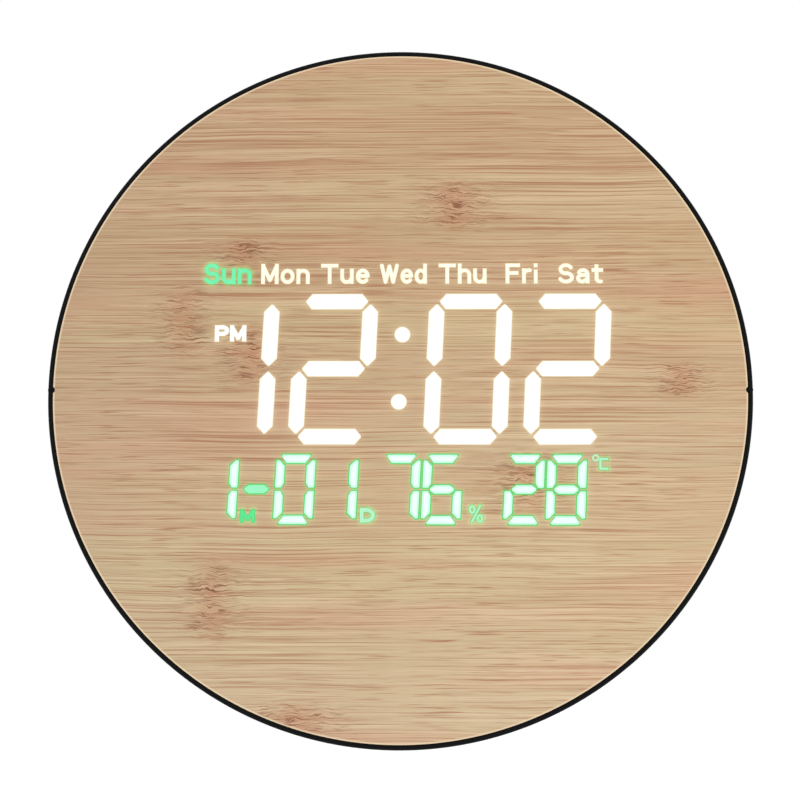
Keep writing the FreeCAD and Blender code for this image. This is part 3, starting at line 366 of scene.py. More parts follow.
SLOT_LOOKS = {
    "case_plastic": lambda name: moulded(name, (0.0035, 0.0035, 0.004), 0.5, specular=0.06),
    "cover_plastic": lambda name: moulded(name, (0.014, 0.014, 0.015), 0.55, 1900, 0.00012, 0.35),
    "panel_acrylic": lambda name: moulded(name, (0.12, 0.12, 0.12), 0.2, 500, 0.000005),
    "foam_tape": lambda name: rubber(name, (0.04, 0.04, 0.04)),
    "mask_film": lambda name: moulded(name, (0.02, 0.02, 0.02), 0.6),
    "block_plastic": lambda name: moulded(name, (0.8, 0.8, 0.78), 0.4),
    "white_light": lambda name: lit(name, (1.0, 0.97, 0.9), 1.0, (0.9, 0.88, 0.8)),
    "green_light": lambda name: lit(name, (0.4, 1.0, 0.55), 1.0, (0.6, 0.8, 0.65)),
    "legend_light": lambda name: lit(name, (1.0, 0.95, 0.75), 1.0, (0.9, 0.88, 0.8)),
    "board_resin": lambda name: circuit(name, (0.01, 0.12, 0.05)),
    "led_resin": lambda name: moulded(name, (0.8, 0.75, 0.4), 0.25),
    "chip_resin": lambda name: moulded(name, (0.015, 0.015, 0.015), 0.5),
    "socket_plastic": lambda name: moulded(name, (0.6, 0.55, 0.42), 0.5),
    "ribbon_film": lambda name: moulded(name, (0.75, 0.75, 0.72), 0.4),
    "screw_steel": lambda name: metal(name, (0.5, 0.5, 0.52), 0.32),
    "can_steel": lambda name: metal(name, (0.72, 0.72, 0.72), 0.22),
    "cell_steel": lambda name: metal(name, (0.7, 0.7, 0.68), 0.25),
    "pin_steel": lambda name: metal(name, (0.6, 0.6, 0.62), 0.2, (12, 1, 1)),
    "contact_brass": lambda name: metal(name, (0.75, 0.55, 0.22), 0.25),
    "switch_plastic": lambda name: moulded(name, (0.02, 0.02, 0.02), 0.5),
    "lead_jacket": lambda name: rubber(name, (0.03, 0.03, 0.03)),
    "sensor_plastic": lambda name: moulded(name, (0.8, 0.8, 0.8), 0.5),
    "button_plastic": lambda name: moulded(name, (0.045, 0.045, 0.05), 0.5),
    "plunger_plastic": lambda name: moulded(name, (0.15, 0.15, 0.15), 0.5),
    "sole_rubber": lambda name: rubber(name, (0.03, 0.03, 0.03)),
}
LOOKS = {slot: make(slot + "_look") for slot, make in SLOT_LOOKS.items()}
LOOKS["wood_film"] = bamboo()

# Lit shapes glow by themselves, over a surface that is nearly black.
DIM = (0.01, 0.01, 0.01)
TIME_EDGE = lit("time_edge_light", (1.0, 0.93, 0.68), 0.95, DIM)
TIME_CORE = lit("time_core_light", (1.0, 1.0, 0.98), 1.1, DIM)
WORD_EDGE = lit("word_edge_light", (1.0, 0.84, 0.48), 0.9, DIM)
WORD_CORE = lit("word_core_light", (1.0, 0.97, 0.8), 1.08, DIM)
GREEN_EDGE = lit("green_edge_light", (0.12, 0.72, 0.17), 1.0, DIM)
GREEN_CORE = lit("green_core_light", (0.6, 1.0, 0.8), 1.05, DIM)
GREEN_HEART = lit("green_heart_light", (0.84, 1.0, 0.93), 1.08, DIM)
DASH_CORE = lit("dash_core_light", (0.34, 0.96, 0.56), 1.0, DIM)
SIGN_CORE = lit("sign_core_light", (0.12, 0.84, 0.32), 1.0, DIM)
SUN_CORE = lit("sun_core_light", (0.2, 0.93, 0.46), 1.0, DIM)
PALE_SIGN_CORE = lit("pale_sign_core_light", (0.5, 0.96, 0.62), 1.0, DIM)
PRINT = moulded("pad_print", (0.5, 0.5, 0.5), 0.6, 1200)


def dress_frame():
    """Give every CAD node the look of its material slot."""
    slots = {entry["node"]: entry["material_slot"] for entry in frame["record"]["subparts"]}
    for name, node in frame["nodes"].items():
        look = LOOKS[slots[name]]
        if not node.material_slots:
            node.data.materials.append(look)
        for index in range(len(node.material_slots)):
            node.material_slots[index].material = look


# ---------------------------------------------------------------- pieces

def add_piece(name, mesh, look, body="case", replaced=(), smooth=False):
    """Put a mesh in the scene as a piece that rides on a body."""
    piece = bpy.data.objects.new(name, mesh)
    bpy.context.scene.collection.objects.link(piece)
    mesh.materials.clear()
    mesh.materials.append(look)
    if smooth:
        mesh.shade_smooth()
    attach(piece, body)
    if replaced:
        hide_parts(*replaced)
    return piece


def mesh_of(name, points, faces):
    """A mesh with outward normals."""
    mesh = bpy.data.meshes.new(name)
    mesh.from_pydata([tuple(point) for point in points], [], faces)
    shape = bmesh.new()
    shape.from_mesh(mesh)
    bmesh.ops.remove_doubles(shape, verts=shape.verts, dist=1e-7)
    bmesh.ops.recalc_face_normals(shape, faces=shape.faces)
    shape.to_mesh(mesh)
    shape.free()
    return mesh


def plates(name, outlines, level, wall):
    """Thin flat plates, one for each outline of (across, up) corners, facing the front."""
    points = []
    faces = []
    for outline in outlines:
        count = len(outline)
        first = len(points)
        for height in (level, level + wall):
            points += [at(across, up, height) for across, up in outline]
        faces.append([first + index for index in range(count)])
        faces.append([first + count + index for index in range(count)][::-1])
        for index in range(count):
            after = (index + 1) % count
            faces.append([first + index, first + count + index, first + count + after,
                          first + after])
    return mesh_of(name, points, faces)


def turned(name, profile, segments):
    """A closed ring from a closed profile of (radius, level) points, turned about the axis."""
    points = []
    for step in range(segments):
        angle = 2 * math.pi * step / segments
        for radius, level in profile:
            points.append(at(radius * math.cos(angle), radius * math.sin(angle), level))
    count = len(profile)
    faces = []
    for step in range(segments):
        this, after = step * count, (step + 1) % segments * count
        for index in range(count):
            following = (index + 1) % count
            faces.append([this + index, this + following, after + following, after + index])
    return mesh_of(name, points, faces)


def arc(centre, radius, start, end, steps):
    """Points of an arc, with its angles in degrees."""
    angles = [math.radians(start + (end - start) * index / steps) for index in range(steps + 1)]
    return [(centre[0] + radius * math.cos(angle), centre[1] + radius * math.sin(angle))
            for angle in angles]


# ---------------------------------------------------------------- rim

def make_rim():
    """Side wall with a rounded lip, the ledge under the face, and the two locating keys."""
    inside = RIM_RADIUS - RIM_WALL
    round_front, round_inner, round_back = 1.3, 0.3, 0.8
    ledge_level, ledge_wall, ledge_reach, key_drop = 27.0, 2.0, 13, 0.25
    ledge = inside - ledge_reach
    profile = arc((RIM_RADIUS - round_front, RIM_LEVEL - round_front), round_front, 0, 90, 8)
    profile += arc((inside + round_inner, RIM_LEVEL - round_inner), round_inner, 90, 180, 4)
    profile += [(inside, ledge_level), (ledge, ledge_level), (ledge, ledge_level - ledge_wall),
                (inside, ledge_level - ledge_wall), (inside, FRAME_LEVEL)]
    profile += arc((RIM_RADIUS - round_back, FRAME_LEVEL + round_back), round_back, 270, 360, 5)
    ring = turned("rim_shell", profile, 360)
    piece = add_piece("rim_shell", ring, LOOKS["case_plastic"],
                      replaced=["front_frame"], smooth=True)
    soften_by_angle(piece)

    outlines = []
    for side in (-1, 1):
        centre = (side * (inside + KEY_SINK), 0.0)
        outlines.append(arc(centre, KEY_RADIUS, 0, 345, 23))
    keys = plates("rim_keys", outlines, ledge_level, RIM_LEVEL - key_drop - ledge_level)
    add_piece("rim_keys", keys, LOOKS["case_plastic"])


def soften_by_angle(piece, angle=35):
    """Smooth shading that keeps sharp edges crisp."""
    mesh = piece.data
    shape = bmesh.new()
    shape.from_mesh(mesh)
    for edge in shape.edges:
        sharp = len(edge.link_faces) == 2 and edge.calc_face_angle() > math.radians(angle)
        edge.smooth = not sharp
    shape.to_mesh(mesh)
    shape.free()


# ---------------------------------------------------------------- display shapes

SLANT = 0.047
TIME = {"width": 24.1, "pitch": 24.25, "bar": 5.5, "length": 22.0, "x": 0.75, "z": 7.6,
        "step": 35.2, "middle": 47.8}
SMALL = {"width": 10.8, "pitch": 10.75, "bar": 3.2, "z": -35.25}
BAR_PLACES = {"a": (0, 2, False), "g": (0, 0, False), "d": (0, -2, False), "f": (-1, 1, True),
              "b": (1, 1, True), "e": (-1, -1, True), "c": (1, -1, True)}
LIT_BARS = {"0": "abcdef", "1": "bc", "2": "abged", "6": "acdefg", "7": "abc", "8": "abcdefg"}
COLON_DOTS, DOT_RADIUS = ((1.34, 19.85), (0.15, -4.26)), 2.75
DASH_X = -49.9
DEGREE_PLACE, DEGREE_RADII = (69.3, -24.1), (0.65, 1.25)
SMALL_DIGITS = [(-63.5, "1"), (-36.45, "0"), (-21.3, "1"), (0.6, "7"), (15.4, "6"),
                (44.15, "2"), (58.9, "8")]


def lean(outline, centre):
    """Lean an outline to the right about its centre and move it there."""
    return [(centre[0] + x + SLANT * z, centre[1] + z) for x, z in outline]


def time_bar(upright, grow=0.0):
    """Large bar with pointed ends, sharper on an upright bar."""
    half, side = TIME["length"] / 2 + grow, TIME["bar"] / 2 + grow
    shoulder = half - (2.6 if upright else 2.1)
    blunt = 0.3
    points = [(-half, -blunt), (-half, blunt), (-shoulder, side), (shoulder, side), (half, blunt),
              (half, -blunt), (shoulder, -side), (-shoulder, -side)]
    return [(z, x) for x, z in points] if upright else points


def small_bar(name, grow=0.0):
    """Small bar: long on its outer side and mitred on its inner side, or pointed in the middle."""
    side = SMALL["bar"] / 2 + grow
    if name == "g":
        half, blunt, taper = 4.3 + grow, 0.4, 1.5
        points = [(-half, -blunt), (-half, blunt), (-half + taper, side), (half - taper, side),
                  (half, blunt), (half, -blunt), (half - taper, -side), (-half + taper, -side)]
    elif name in "ad":
        outer, inner = 5.2 + grow, 3.4 + grow * 0.5
        points = [(-outer + 0.5, side), (outer - 0.5, side), (outer, side - 0.5),
                  (inner, -side), (-inner, -side), (-outer, side - 0.5)]
        if name == "d":
            points = [(x, -z) for x, z in points]
    else:
        half, flat, mitre = 4.9 + grow, 1.25 + grow, 1.9
        middle_flat, middle_mitre = 2.1 + grow, 1.6
        points = [(-side, -half + 0.3), (-side, half - 0.3), (-side + 0.3, half),
                  (-side + flat, half), (side, half - mitre), (side, -half + middle_mitre),
                  (-side + middle_flat, -half), (-side + 0.3, -half)]
        if name in "ec":
            points = [(x, -z) for x, z in points]
        if name in "bc":
            points = [(-x, z) for x, z in points]
    return points


def time_outlines(grow=0.0):
    """Outlines of the lit bars of the time."""
    inner = TIME["middle"] / 2
    outer = inner + TIME["step"]
    outlines = []
    for offset, digit in ((-outer, "1"), (-inner, "2"), (inner, "0"), (outer, "2")):
        for name in LIT_BARS[digit]:
            across, up, upright = BAR_PLACES[name]
            rise = up * TIME["pitch"] / 2
            shift = across * TIME["width"] / 2 + SLANT * rise
            centre = (TIME["x"] + offset + shift, TIME["z"] + rise)
            outlines.append(lean(time_bar(upright, grow), centre))
    for place in COLON_DOTS:
        outlines.append(arc(place, DOT_RADIUS + grow, 0, 354, 59))
    return outlines


def dash_outlines(grow=0.0):
    """Outline of the dash between the month and the day."""
    return [lean(small_bar("g", grow), (DASH_X, SMALL["z"]))]


def small_outlines(grow=0.0):
    """Outlines of the lit bars of the date, the humidity and the temperature."""
    outlines = []
    for x, digit in SMALL_DIGITS:
        for name in LIT_BARS[digit]:
            across, up, _ = BAR_PLACES[name]
            rise = up * SMALL["pitch"] / 2
            shift = across * SMALL["width"] / 2 + SLANT * rise
            outlines.append(lean(small_bar(name, grow), (x + shift, SMALL["z"] + rise)))
    return outlines


def bow(x, z, wide, tall, start, end):
    """Points of an upright elliptical arc, with its angles in degrees."""
    steps = max(6, int(abs(end - start) / 12))
    return [(x + wide * px, z + tall * pz) for px, pz in arc((0, 0), 1, start, end, steps)]


# Strokes of each letter as lines along their middle, where 1 is the height of a capital.
LETTERS = {
    "S": [bow(0.31, 0.75, 0.27, 0.25, 25, 270) + bow(0.31, 0.26, 0.30, 0.26, 90, -158)],
    "u": [[(0, 0.7)] + bow(0.24, 0.26, 0.24, 0.26, 180, 350) + [(0.5, 0.26)],
          [(0.5, 0.7), (0.5, 0)]],
    "n": [[(0, 0), (0, 0.7)], bow(0.25, 0.44, 0.25, 0.26, 170, 0) + [(0.5, 0)]],
    "M": [[(0, 0), (0, 1)], [(0, 1), (0.36, 0.12), (0.72, 1)], [(0.72, 1), (0.72, 0)]],
    "o": [bow(0.27, 0.35, 0.27, 0.35, 0, 360)],
    "T": [[(0, 1), (0.7, 1)], [(0.35, 1), (0.35, 0)]],
    "e": [[(0.02, 0.37), (0.53, 0.37)] + bow(0.27, 0.35, 0.26, 0.35, 6, 318)],
    "W": [[(0, 1), (0.22, 0), (0.44, 0.95), (0.66, 0), (0.88, 1)]],
    "d": [bow(0.25, 0.35, 0.25, 0.35, 0, 360), [(0.5, 0), (0.5, 1)]],
    "h": [[(0, 0), (0, 1)], bow(0.25, 0.44, 0.25, 0.26, 170, 0) + [(0.5, 0)]],
    "F": [[(0, 0), (0, 1)], [(0, 1), (0.56, 1)], [(0, 0.53), (0.48, 0.53)]],
    "r": [[(0, 0), (0, 0.7)], bow(0.27, 0.42, 0.27, 0.28, 170, 80)],
    "i": [[(0, 0), (0, 0.62)], [(0, 0.99), (0, 1.0)]],
    "a": [bow(0.25, 0.45, 0.22, 0.25, 155, 0) + [(0.47, 0)],
          [(0.47, 0.40)] + bow(0.22, 0.2, 0.22, 0.2, 90, 275) + [(0.47, 0.16)]],
    "t": [[(0.15, 0.93)] + bow(0.33, 0.18, 0.18, 0.18, 180, 280), [(0, 0.7), (0.38, 0.7)]],
    "P": [[(0, 0), (0, 1)], [(0, 1)] + bow(0.33, 0.73, 0.27, 0.27, 90, -90) + [(0, 0.46)]],
    "D": [[(0, 0), (0, 1)], [(0, 1)] + bow(0.25, 0.5, 0.38, 0.5, 90, -90) + [(0, 0)]],
    "%": [[(0.66, 1), (0.12, 0)], bow(0.15, 0.77, 0.15, 0.2, 0, 360),
          bow(0.63, 0.22, 0.15, 0.2, 0, 360)],
    "C": [[(0.08, 1), (0.6, 1)], [(0, 0.12), (0, 0.88)], [(0.08, 0), (0.6, 0)],
          bow(0.08, 0.88, 0.08, 0.12, 90, 180), bow(0.08, 0.12, 0.08, 0.12, 180, 270)],
    "E": [[(0, 1), (0.5, 1)], [(0, 0), (0, 1)], [(0, 0), (0.5, 0)], [(0, 0.53), (0.43, 0.53)]],
    "O": [bow(0.36, 0.5, 0.36, 0.5, 0, 360)],
    "N": [[(0, 0), (0, 1)], [(0, 1), (0.6, 0)], [(0.6, 1), (0.6, 0)]],
}
LETTER_GAP = 0.3


def stroke_outline(start, end, radius, first, last):
    """Outline of one stroke: round where it joins on, square where a level or upright one ends."""
    along = math.atan2(end[1] - start[1], end[0] - start[0])
    degrees = math.degrees(along)
    straight = abs(math.sin(2 * along)) < 0.01
    forward = (radius * math.cos(along), radius * math.sin(along))
    side = (-forward[1], forward[0])
    outline = []
    for point, ends, sign in ((end, last, 1), (start, first, -1)):
        if ends and straight:
            corner = (point[0] + sign * forward[0], point[1] + sign * forward[1])
            outline += [(corner[0] - sign * side[0], corner[1] - sign * side[1]),
                        (corner[0] + sign * side[0], corner[1] + sign * side[1])]
        else:
            turn = degrees if sign > 0 else degrees + 180
            outline += arc(point, radius, turn - 90, turn + 90, 8)
    return outline


def lettering(name, text, box, level, wall, stroke):
    """Raised flat letters of round strokes that fill a box of (left, right, low, high)."""
    lines = []
    start = 0
    for letter in text:
        strokes = LETTERS[letter]
        lines += [[(start + x, z) for x, z in line] for line in strokes]
        start += max(x for line in strokes for x, _ in line) + LETTER_GAP
    left, right, bottom, top = box
    width = (right - left - stroke) / (start - LETTER_GAP)
    height = top - bottom - stroke
    corners = []
    rims = []
    for line in lines:
        line = [(left + stroke / 2 + x * width, bottom + stroke / 2 + z * height)
                for x, z in line]
        for index, (first, second) in enumerate(zip(line, line[1:])):
            outline = stroke_outline(first, second, stroke / 2, index == 0,
                                     index == len(line) - 2)
            rims.append(list(range(len(corners), len(corners) + len(outline))))
            corners += [Vector(corner) for corner in outline]
    flat, _, triangles, _, _, sources = delaunay_2d_cdt(corners, [], rims, 0, 1e-4)
    triangles = [face for face, source in zip(triangles, sources) if source]
    mesh = bpy.data.meshes.new(name)
    mesh.from_pydata([tuple(at(x, z, level)) for x, z in flat], [], triangles)
    shape = bmesh.new()
    shape.from_mesh(mesh)
    loose = [vertex for vertex in shape.verts if not vertex.link_faces]
    bmesh.ops.delete(shape, geom=loose, context="VERTS")
    made = bmesh.ops.extrude_face_region(shape, geom=list(shape.faces), use_keep_orig=True)
    lifted = [item for item in made["geom"] if isinstance(item, bmesh.types.BMVert)]
    bmesh.ops.translate(shape, verts=lifted, vec=Vector((0, -wall * MM, 0)))
    bmesh.ops.recalc_face_normals(shape, faces=shape.faces)
    shape.to_mesh(mesh)
    shape.free()
    return mesh


# Words and signs: name, text, box, width of a stroke and look.
WORDS = [
    ("sun", "Sun", (-70.0, -52.8, 38.3, 45.9), 1.42, "sun"),
    ("mon", "Mon", (-49.3, -32.0, 38.4, 45.6), 1.22, "word"),
    ("tue", "Tue", (-27.8, -10.5, 38.4, 45.6), 1.22, "word"),
    ("wed", "Wed", (-6.7, 10.0, 38.4, 45.6), 1.22, "word"),
    ("thu", "Thu", (14.3, 31.3, 38.4, 45.6), 1.22, "word"),
    ("fri", "Fri", (38.2, 49.5, 38.4, 45.6), 1.22, "word"),
    ("sat", "Sat", (56.8, 72.8, 38.4, 45.6), 1.22, "word"),
    ("afternoon", "PM", (-65.6, -54.4, 17.5, 23.3), 1.4, "time"),
    ("month", "M", (-55.3, -50.4, -46.8, -42.4), 1.0, "sign"),
    ("day", "D", (-13.4, -8.1, -46.9, -41.8), 1.35, "pale"),
    ("percent", "%", (24.8, 29.8, -47.0, -40.6), 0.7, "pale"),
    ("degrees", "C", (70.5, 73.6, -28.3, -24.1), 0.8, "pale"),
]
EDGES = {"word": WORD_EDGE, "time": TIME_EDGE, "sign": GREEN_EDGE, "pale": GREEN_EDGE,
         "sun": GREEN_EDGE}
CORES = {"word": WORD_CORE, "time": TIME_CORE, "sign": SIGN_CORE, "pale": PALE_SIGN_CORE,
         "sun": SUN_CORE}
EDGE_LIFT, CORE_LIFT, LIGHT_WALL = 0.02, 0.06, 0.04
WORD_GROW = {"time": 0.1, "pale": 0.2, "sign": 0.25, "word": 0.15, "sun": 0.1}


def degree_ring(level):
    """Small ring of the degree sign, square in section."""
    inner, outer = DEGREE_RADII
    points = []
    faces = []
    segments = 32
    for step in range(segments):
        angle = 2 * math.pi * step / segments
        for radius, lift in ((outer, 0), (outer, 1), (inner, 1), (inner, 0)):
            points.append(at(DEGREE_PLACE[0] + radius * math.cos(angle),
                             DEGREE_PLACE[1] + radius * math.sin(angle),
                             level + lift * LIGHT_WALL))
        for index in range(4):
            this, after = step * 4, (step + 1) % segments * 4
            faces.append([this + index, this + (index + 1) % 4, after + (index + 1) % 4,
                          after + index])
    return mesh_of("degree_ring", points, faces)


def make_lights():
    """Lit bars and words, each a bright core over a slightly larger coloured edge.

    Gives the look and the corners of each word, for the glow around it.
    """
    edge, core = FILM_LEVEL + EDGE_LIFT, FILM_LEVEL + CORE_LIFT
    sets = (("time_bars", time_outlines, 0.12, -0.15, TIME_EDGE, TIME_CORE, "white_light"),
            ("small_bars", small_outlines, 0.28, -0.12, GREEN_EDGE, GREEN_CORE, "green_light"),
            ("dash", dash_outlines, 0.28, -0.15, GREEN_EDGE, DASH_CORE, "green_light"))
    for name, outlines, grow, shrink, edge_look, core_look, slot in sets:
        add_piece(name + "_edge", plates(name + "_edge", outlines(grow), edge, LIGHT_WALL),
                  edge_look)
        add_piece(name + "_core", plates(name + "_core", outlines(shrink), core, LIGHT_WALL),
                  core_look)
    heart = plates("small_bars_heart", small_outlines(-0.75), core + EDGE_LIFT, LIGHT_WALL)
    add_piece("small_bars_heart", heart, GREEN_HEART)
    spots = []
    for name, text, box, stroke, style in WORDS:
        grow = WORD_GROW[style]
        left, right, bottom, top = box
        wide = (left - grow, right + grow, bottom - grow, top + grow)
        mesh = lettering(name + "_edge", text, wide, edge, LIGHT_WALL, stroke + grow * 2)
        add_piece(name + "_edge", mesh, EDGES[style])
        mesh = lettering(name + "_core", text, box, core, LIGHT_WALL, stroke)
        add_piece(name + "_core", mesh, CORES[style])
        spots.append((style, [(vertex.co.x / MM, vertex.co.z / MM) for vertex in mesh.vertices]))
    add_piece("degree_ring", degree_ring(core), PALE_SIGN_CORE)
    return spots


# ---------------------------------------------------------------- face film

# Knots of the bamboo: across, up, half width and half height.
KNOTS = [(20, 67, 9, 9), (-56, 49, 7, 6), (-77, 25, 6, 12), (-52, 12, 7, 11), (100, 3.5, 7, 6),
         (-65, -74, 7, 13), (-35, -115, 10, 6), (46, -32, 8, 10)]


FAR = 1e3
SPOT_RADIUS = 0.3


def segment_distance(points, start, end):
    """Distance of many points from one line segment."""
    start, end = np.array(start), np.array(end)
    along = end - start
    share = np.clip((points - start) @ along / (along @ along), 0, 1)
    return np.linalg.norm(points - (start + share[:, None] * along), axis=1)


def outline_distance(points, outlines):
    """Distance of many points from the nearest outline, and 0 for those inside one."""
    nearest = np.full(len(points), FAR)
    for outline in outlines:
        corners = np.array(outline)
        centre = corners.mean(0)
        reach = np.linalg.norm(corners - centre, axis=1).max() + 14
        chosen = np.linalg.norm(points - centre, axis=1) < reach
        near = points[chosen]
        distance = np.full(len(near), FAR)
        inside = np.zeros(len(near), bool)
        for first, second in zip(corners, np.roll(corners, -1, axis=0)):
            distance = np.minimum(distance, segment_distance(near, first, second))
            crosses = (first[1] > near[:, 1]) != (second[1] > near[:, 1])
            rise = second[1] - first[1]
            if abs(rise) > 1e-9:
                edge = first[0] + (near[:, 1] - first[1]) / rise * (second[0] - first[0])
                inside ^= crosses & (near[:, 0] < edge)
        distance[inside] = 0
        nearest[chosen] = np.minimum(nearest[chosen], distance)
    return nearest


def spot_distance(points, spots):
    """Distance of many points from the nearest of a cloud of small round spots."""
    nearest = np.full(len(points), FAR)
    spots = np.array(spots)
    low, high = spots.min(0) - 12, spots.max(0) + 12
    chosen = np.all((points > low) & (points < high), axis=1)
    near = points[chosen]
    batch = 4000
    for start in range(0, len(near), batch):
        block = near[start:start + batch]
        gaps = np.linalg.norm(block[:, None, :] - spots[None, :, :], axis=2)
        index = np.flatnonzero(chosen)[start:start + batch]
        nearest[index] = np.maximum(gaps.min(1) - SPOT_RADIUS, 0)
    return nearest


# Radii of the film's rings of points, close together around the display.
FILM_RINGS = np.concatenate([np.arange(0.8, 92, 0.75), np.linspace(92.5, FILM_RADIUS, 22)])
FILM_SEGMENTS = 512


def make_film(word_spots):
    """Face film as one finely divided disc that carries the glow and the knots as values."""
    radii, segments = FILM_RINGS, FILM_SEGMENTS
    angles = np.arange(segments) * 2 * math.pi / segments
    rings = len(radii)
    flat = np.stack([np.outer(radii, np.cos(angles)), np.outer(radii, np.sin(angles))], -1)
    flat = np.concatenate([[[0, 0]], flat.reshape(-1, 2)])
    points = [at(x, z, FILM_LEVEL) for x, z in flat]
    points += [at(x, z, FILM_BACK) for x, z in flat[-segments:]]
    points.append(at(0, 0, FILM_BACK))
    faces = []
    for step in range(segments):
        after = (step + 1) % segments
        faces.append([0, 1 + step, 1 + after])
        for ring in range(rings):
            inner = 1 + ring * segments
            outer = inner + segments
            faces.append([inner + step, outer + step, outer + after, inner + after])
        back = 1 + rings * segments
        faces.append([back + after, back + step, len(points) - 1])
    mesh = bpy.data.meshes.new("bamboo_film")
    mesh.from_pydata([tuple(point) for point in points], [], faces)
    flat = np.array([(vertex.co.x / MM, vertex.co.z / MM) for vertex in mesh.vertices])

    white = outline_distance(flat, time_outlines())
    green = outline_distance(flat, small_outlines() + dash_outlines())
    word = np.full(len(flat), FAR)
    for style, spots in word_spots:
        found = spot_distance(flat, spots)
        if style in ("sign", "pale", "sun"):
            green = np.minimum(green, found)
        elif style == "time":
            white = np.minimum(white, found)
        else:
            word = np.minimum(word, found)
    values = {
        "white_glow": 0.10 * np.exp(-white / 0.5) + 0.03 * np.exp(-white / 3)
                      + 0.05 * np.exp(-word / 0.4) + 0.01 * np.exp(-word / 3),
        "green_glow": 0.34 * np.exp(-green / 0.5) + 0.02 * np.exp(-green / 2.5),
    }
    for name, spread in (("knot", 0.8), ("near_knot", 1.6)):
        knot = np.zeros(len(flat))
        for x, z, wide, tall in KNOTS:
            across = np.abs((flat[:, 0] - x) / (wide * spread)) ** 2
            knot += np.exp(-across - np.abs((flat[:, 1] - z) / tall) ** 4)
        values[name] = np.clip(knot, 0, 1)
    for name, numbers in values.items():
        layer = mesh.attributes.new(name, "FLOAT", "POINT")
        layer.data.foreach_set("value", numbers.astype(np.float32))
    add_piece("bamboo_film", mesh, LOOKS["wood_film"], replaced=["wood_grain_film"])


# ---------------------------------------------------------------- back

# Head of a screw from its rim to its crown as (radius, rise), then its cross from the mouth to
# the bottom as (reach of an arm, radius between the arms, rise).
SCREW_HEAD = [(2.4, 0), (2.4, 0.7), (2.15, 1.2), (1.6, 1.55), (1.0, 1.68)]
SCREW_CROSS = [(0.85, 0.32, 1.68), (0.6, 0.2, 0.8)]


def make_cover_screws():
    """Pan-head screws with a cross recess, in the flange of the rear cover."""
    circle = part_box("cover_screws")[1].z / MM - SCREW_HEAD[0][0]
    points = []
    faces = []
    steps = 32
    rows = [(radius, radius, rise) for radius, rise in SCREW_HEAD] + SCREW_CROSS
    for number in range(6):
        turn = math.radians(90 + 60 * number)
        spin = math.radians(23 * number)
        x, z = circle * math.cos(turn), circle * math.sin(turn)
        first = len(points)
        for arm, waist, rise in rows:
            for step in range(steps):
                angle = 2 * math.pi * step / steps + spin
                radius = arm if step % 8 in (0, 1, 7) else waist
                points.append(at(x + radius * math.cos(angle), z + radius * math.sin(angle),
                                 FRAME_LEVEL - rise))
        rings = [first + index * steps for index in range(len(rows))]
        for inner, outer in zip(rings, rings[1:]):
            for step in range(steps):
                after = (step + 1) % steps
                faces.append([inner + step, outer + step, outer + after, inner + after])
        faces.append([rings[-1] + step for step in range(steps)])
        faces.append([first + step for step in range(steps)][::-1])
    piece = add_piece("cover_screw_heads", mesh_of("cover_screw_heads", points, faces),
                      LOOKS["screw_steel"], replaced=["cover_screws"], smooth=True)
    soften_by_angle(piece, 40)


def mirrored(mesh, axis):
    """Turn lettering to be read from behind, about an upright line at this place."""
    for vertex in mesh.vertices:
        vertex.co.x = 2 * axis * MM - vertex.co.x
    shape = bmesh.new()
    shape.from_mesh(mesh)
    bmesh.ops.recalc_face_normals(shape, faces=shape.faces)
    shape.to_mesh(mesh)
    shape.free()
    return mesh


def make_sole():
    """Ribbed rubber sole near the tip of the foot."""
    low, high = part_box("stand_pad")
    left, right = low.x / MM, high.x / MM
    front, back = -low.y / MM, -high.y / MM
    base = (front + back) / 2
    outlines = [[(left, low.z / MM), (right, low.z / MM), (right, high.z / MM),
                 (left, high.z / MM)]]
    mesh = plates("foot_sole", outlines, base, front - base)
    add_piece("foot_sole", mesh, LOOKS["sole_rubber"], "foot", ["stand_pad"])
    ribs = []
    count, margin = 9, 0.3
    pitch = (right - left) / count
    bottom, top = low.z / MM + margin, high.z / MM - margin
    for number in range(count):
        start = left + pitch * (number + 0.2)
        end = start + pitch * 0.6
        ribs.append([(start, bottom), (end, bottom), (end, top), (start, top)])
    mesh = plates("foot_sole_ribs", ribs, back, base - back)
    add_piece("foot_sole_ribs", mesh, LOOKS["sole_rubber"], "foot")


PRINT_WALL, PRINT_STROKE = 0.03, 0.42


def add_print(name, mesh, middle):
    """Pale pad print on the back, turned to be read from behind."""
    add_piece(name, mirrored(mesh, middle), PRINT)


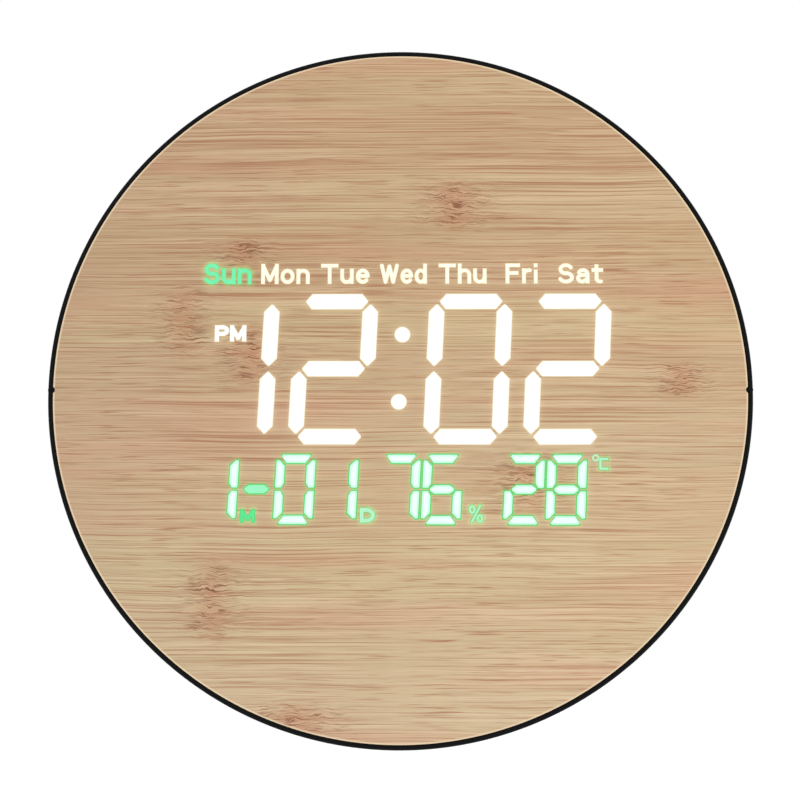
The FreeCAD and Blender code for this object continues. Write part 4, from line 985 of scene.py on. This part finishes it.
def make_back_marks():
    """Printed words and arrows over the buttons, and the way that the cell's lid turns."""
    for name in ("mode", "set"):
        low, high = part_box(name + "_button")
        middle = (low.x + high.x) / 2 / MM
        half = 0.85 * (len(name) + 1)
        box = (middle - half, middle + half, high.z / MM + 2, high.z / MM + 4.6)
        mesh = lettering(name + "_print", name.upper(), box, -PRINT_WALL, PRINT_WALL, PRINT_STROKE)
        add_print(name + "_print", mesh, middle)
    for name, sign in (("up", 1), ("down", -1)):
        low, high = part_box(name + "_button")
        middle = (low.x + high.x) / 2 / MM
        rise = high.z / MM + 3.3
        outline = [(middle - 1.9, rise - sign * 1.3), (middle + 1.9, rise - sign * 1.3),
                   (middle, rise + sign * 1.5)]
        mesh = plates(name + "_print", [outline], -PRINT_WALL, PRINT_WALL)
        add_print(name + "_print", mesh, middle)

    low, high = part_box("battery_lid")
    centre = ((low.x + high.x) / 2 / MM, (low.z + high.z) / 2 / MM)
    outer, inner = 18.4, 17.7
    sweep = arc(centre, outer, 60, 92, 12) + arc(centre, inner, 92, 60, 12)
    tip = [arc(centre, radius, turn, turn, 1)[0]
           for radius, turn in ((outer + 1, 60), (inner - 1, 60), ((outer + inner) / 2, 53))]
    mesh = plates("lid_turn_print", [sweep, tip], -PRINT_WALL, PRINT_WALL)
    add_piece("lid_turn_print", mesh, PRINT)
    box = (centre[0] - 5.6, centre[0] + 5.6, centre[1] + 20.2, centre[1] + 22.8)
    mesh = lettering("open_print", "OPEN", box, -PRINT_WALL, PRINT_WALL, PRINT_STROKE)
    add_print("open_print", mesh, centre[0])


# ---------------------------------------------------------------- stage

CAMERA_DISTANCE = 0.528
CAMERA_YAW, CAMERA_PITCH, CAMERA_ROLL = 1.55, 8.15, 0.195
CAMERA_LENS = 67.1
FLOOR_DROP = 0.22


def make_camera():
    """Camera a little below and to the right of the face's axis."""
    data = bpy.data.cameras.new("camera")
    data.lens = CAMERA_LENS
    data.sensor_width = 36
    camera = bpy.data.objects.new("camera", data)
    bpy.context.scene.collection.objects.link(camera)
    yaw, pitch = math.radians(CAMERA_YAW), math.radians(CAMERA_PITCH)
    away = Vector((math.sin(yaw) * math.cos(pitch), -math.cos(yaw) * math.cos(pitch),
                   -math.sin(pitch)))
    face = at(0, 0, FILM_LEVEL)
    camera.location = face + away * CAMERA_DISTANCE
    aim = at(0.57, -3.6, FILM_LEVEL)
    turn = (aim - camera.location).to_track_quat("-Z", "Y").to_matrix().to_4x4()
    roll = Matrix.Rotation(math.radians(CAMERA_ROLL), 4, "Z")
    camera.matrix_world = Matrix.Translation(camera.location) @ turn @ roll
    bpy.context.scene.camera = camera


def add_area(name, place, aim, size, power):
    """Soft square light."""
    data = bpy.data.lights.new(name, "AREA")
    data.size = size
    data.energy = power
    light = bpy.data.objects.new(name, data)
    bpy.context.scene.collection.objects.link(light)
    light.location = place
    light.rotation_euler = (Vector(aim) - Vector(place)).to_track_quat("-Z", "Y").to_euler()


def make_stage():
    """Pale floor, white surroundings and soft lights."""
    mesh = bpy.data.meshes.new("floor")
    size, level = 6.0, CAD_BOUNDS[0][2] - FLOOR_DROP
    corners = [(-size, -size, level), (size, -size, level), (size, size, level),
               (-size, size, level)]
    mesh.from_pydata(corners, [], [(0, 1, 2, 3)])
    floor = bpy.data.objects.new("floor", mesh)
    bpy.context.scene.collection.objects.link(floor)
    nodes = Nodes("pale_floor")
    mottle = [(0.3, (0.93, 0.93, 0.93)), (0.7, (0.96, 0.96, 0.96))]
    nodes.link(nodes.ramp(nodes.noise(2, 2), mottle), nodes.shader.inputs["Base Color"])
    nodes.shader.inputs["Roughness"].default_value = 0.9
    nodes.shader.inputs["Emission Color"].default_value = (1, 1, 1, 1)
    nodes.shader.inputs["Emission Strength"].default_value = 0.12
    mesh.materials.append(nodes.material)

    world = bpy.data.worlds.new("studio")
    world.use_nodes = True
    world.node_tree.nodes["Background"].inputs["Color"].default_value = (1, 1, 1, 1)
    world.node_tree.nodes["Background"].inputs["Strength"].default_value = 1.0
    bpy.context.scene.world = world
    add_area("key_light", (-0.7, -1.1, 0.9), (0, 0, 0), 0.9, 3.0)
    add_area("fill_light", (0.9, -1.0, 0.2), (0, 0, 0), 1.0, 2.0)
    add_area("back_light", (0.4, 1.1, 0.8), (0, 0, 0), 0.9, 7.0)
    bpy.context.scene.view_settings.view_transform = "Standard"


dress_frame()
make_rim()
make_sole()
make_film(make_lights())
make_cover_screws()
make_back_marks()
make_camera()
make_stage()
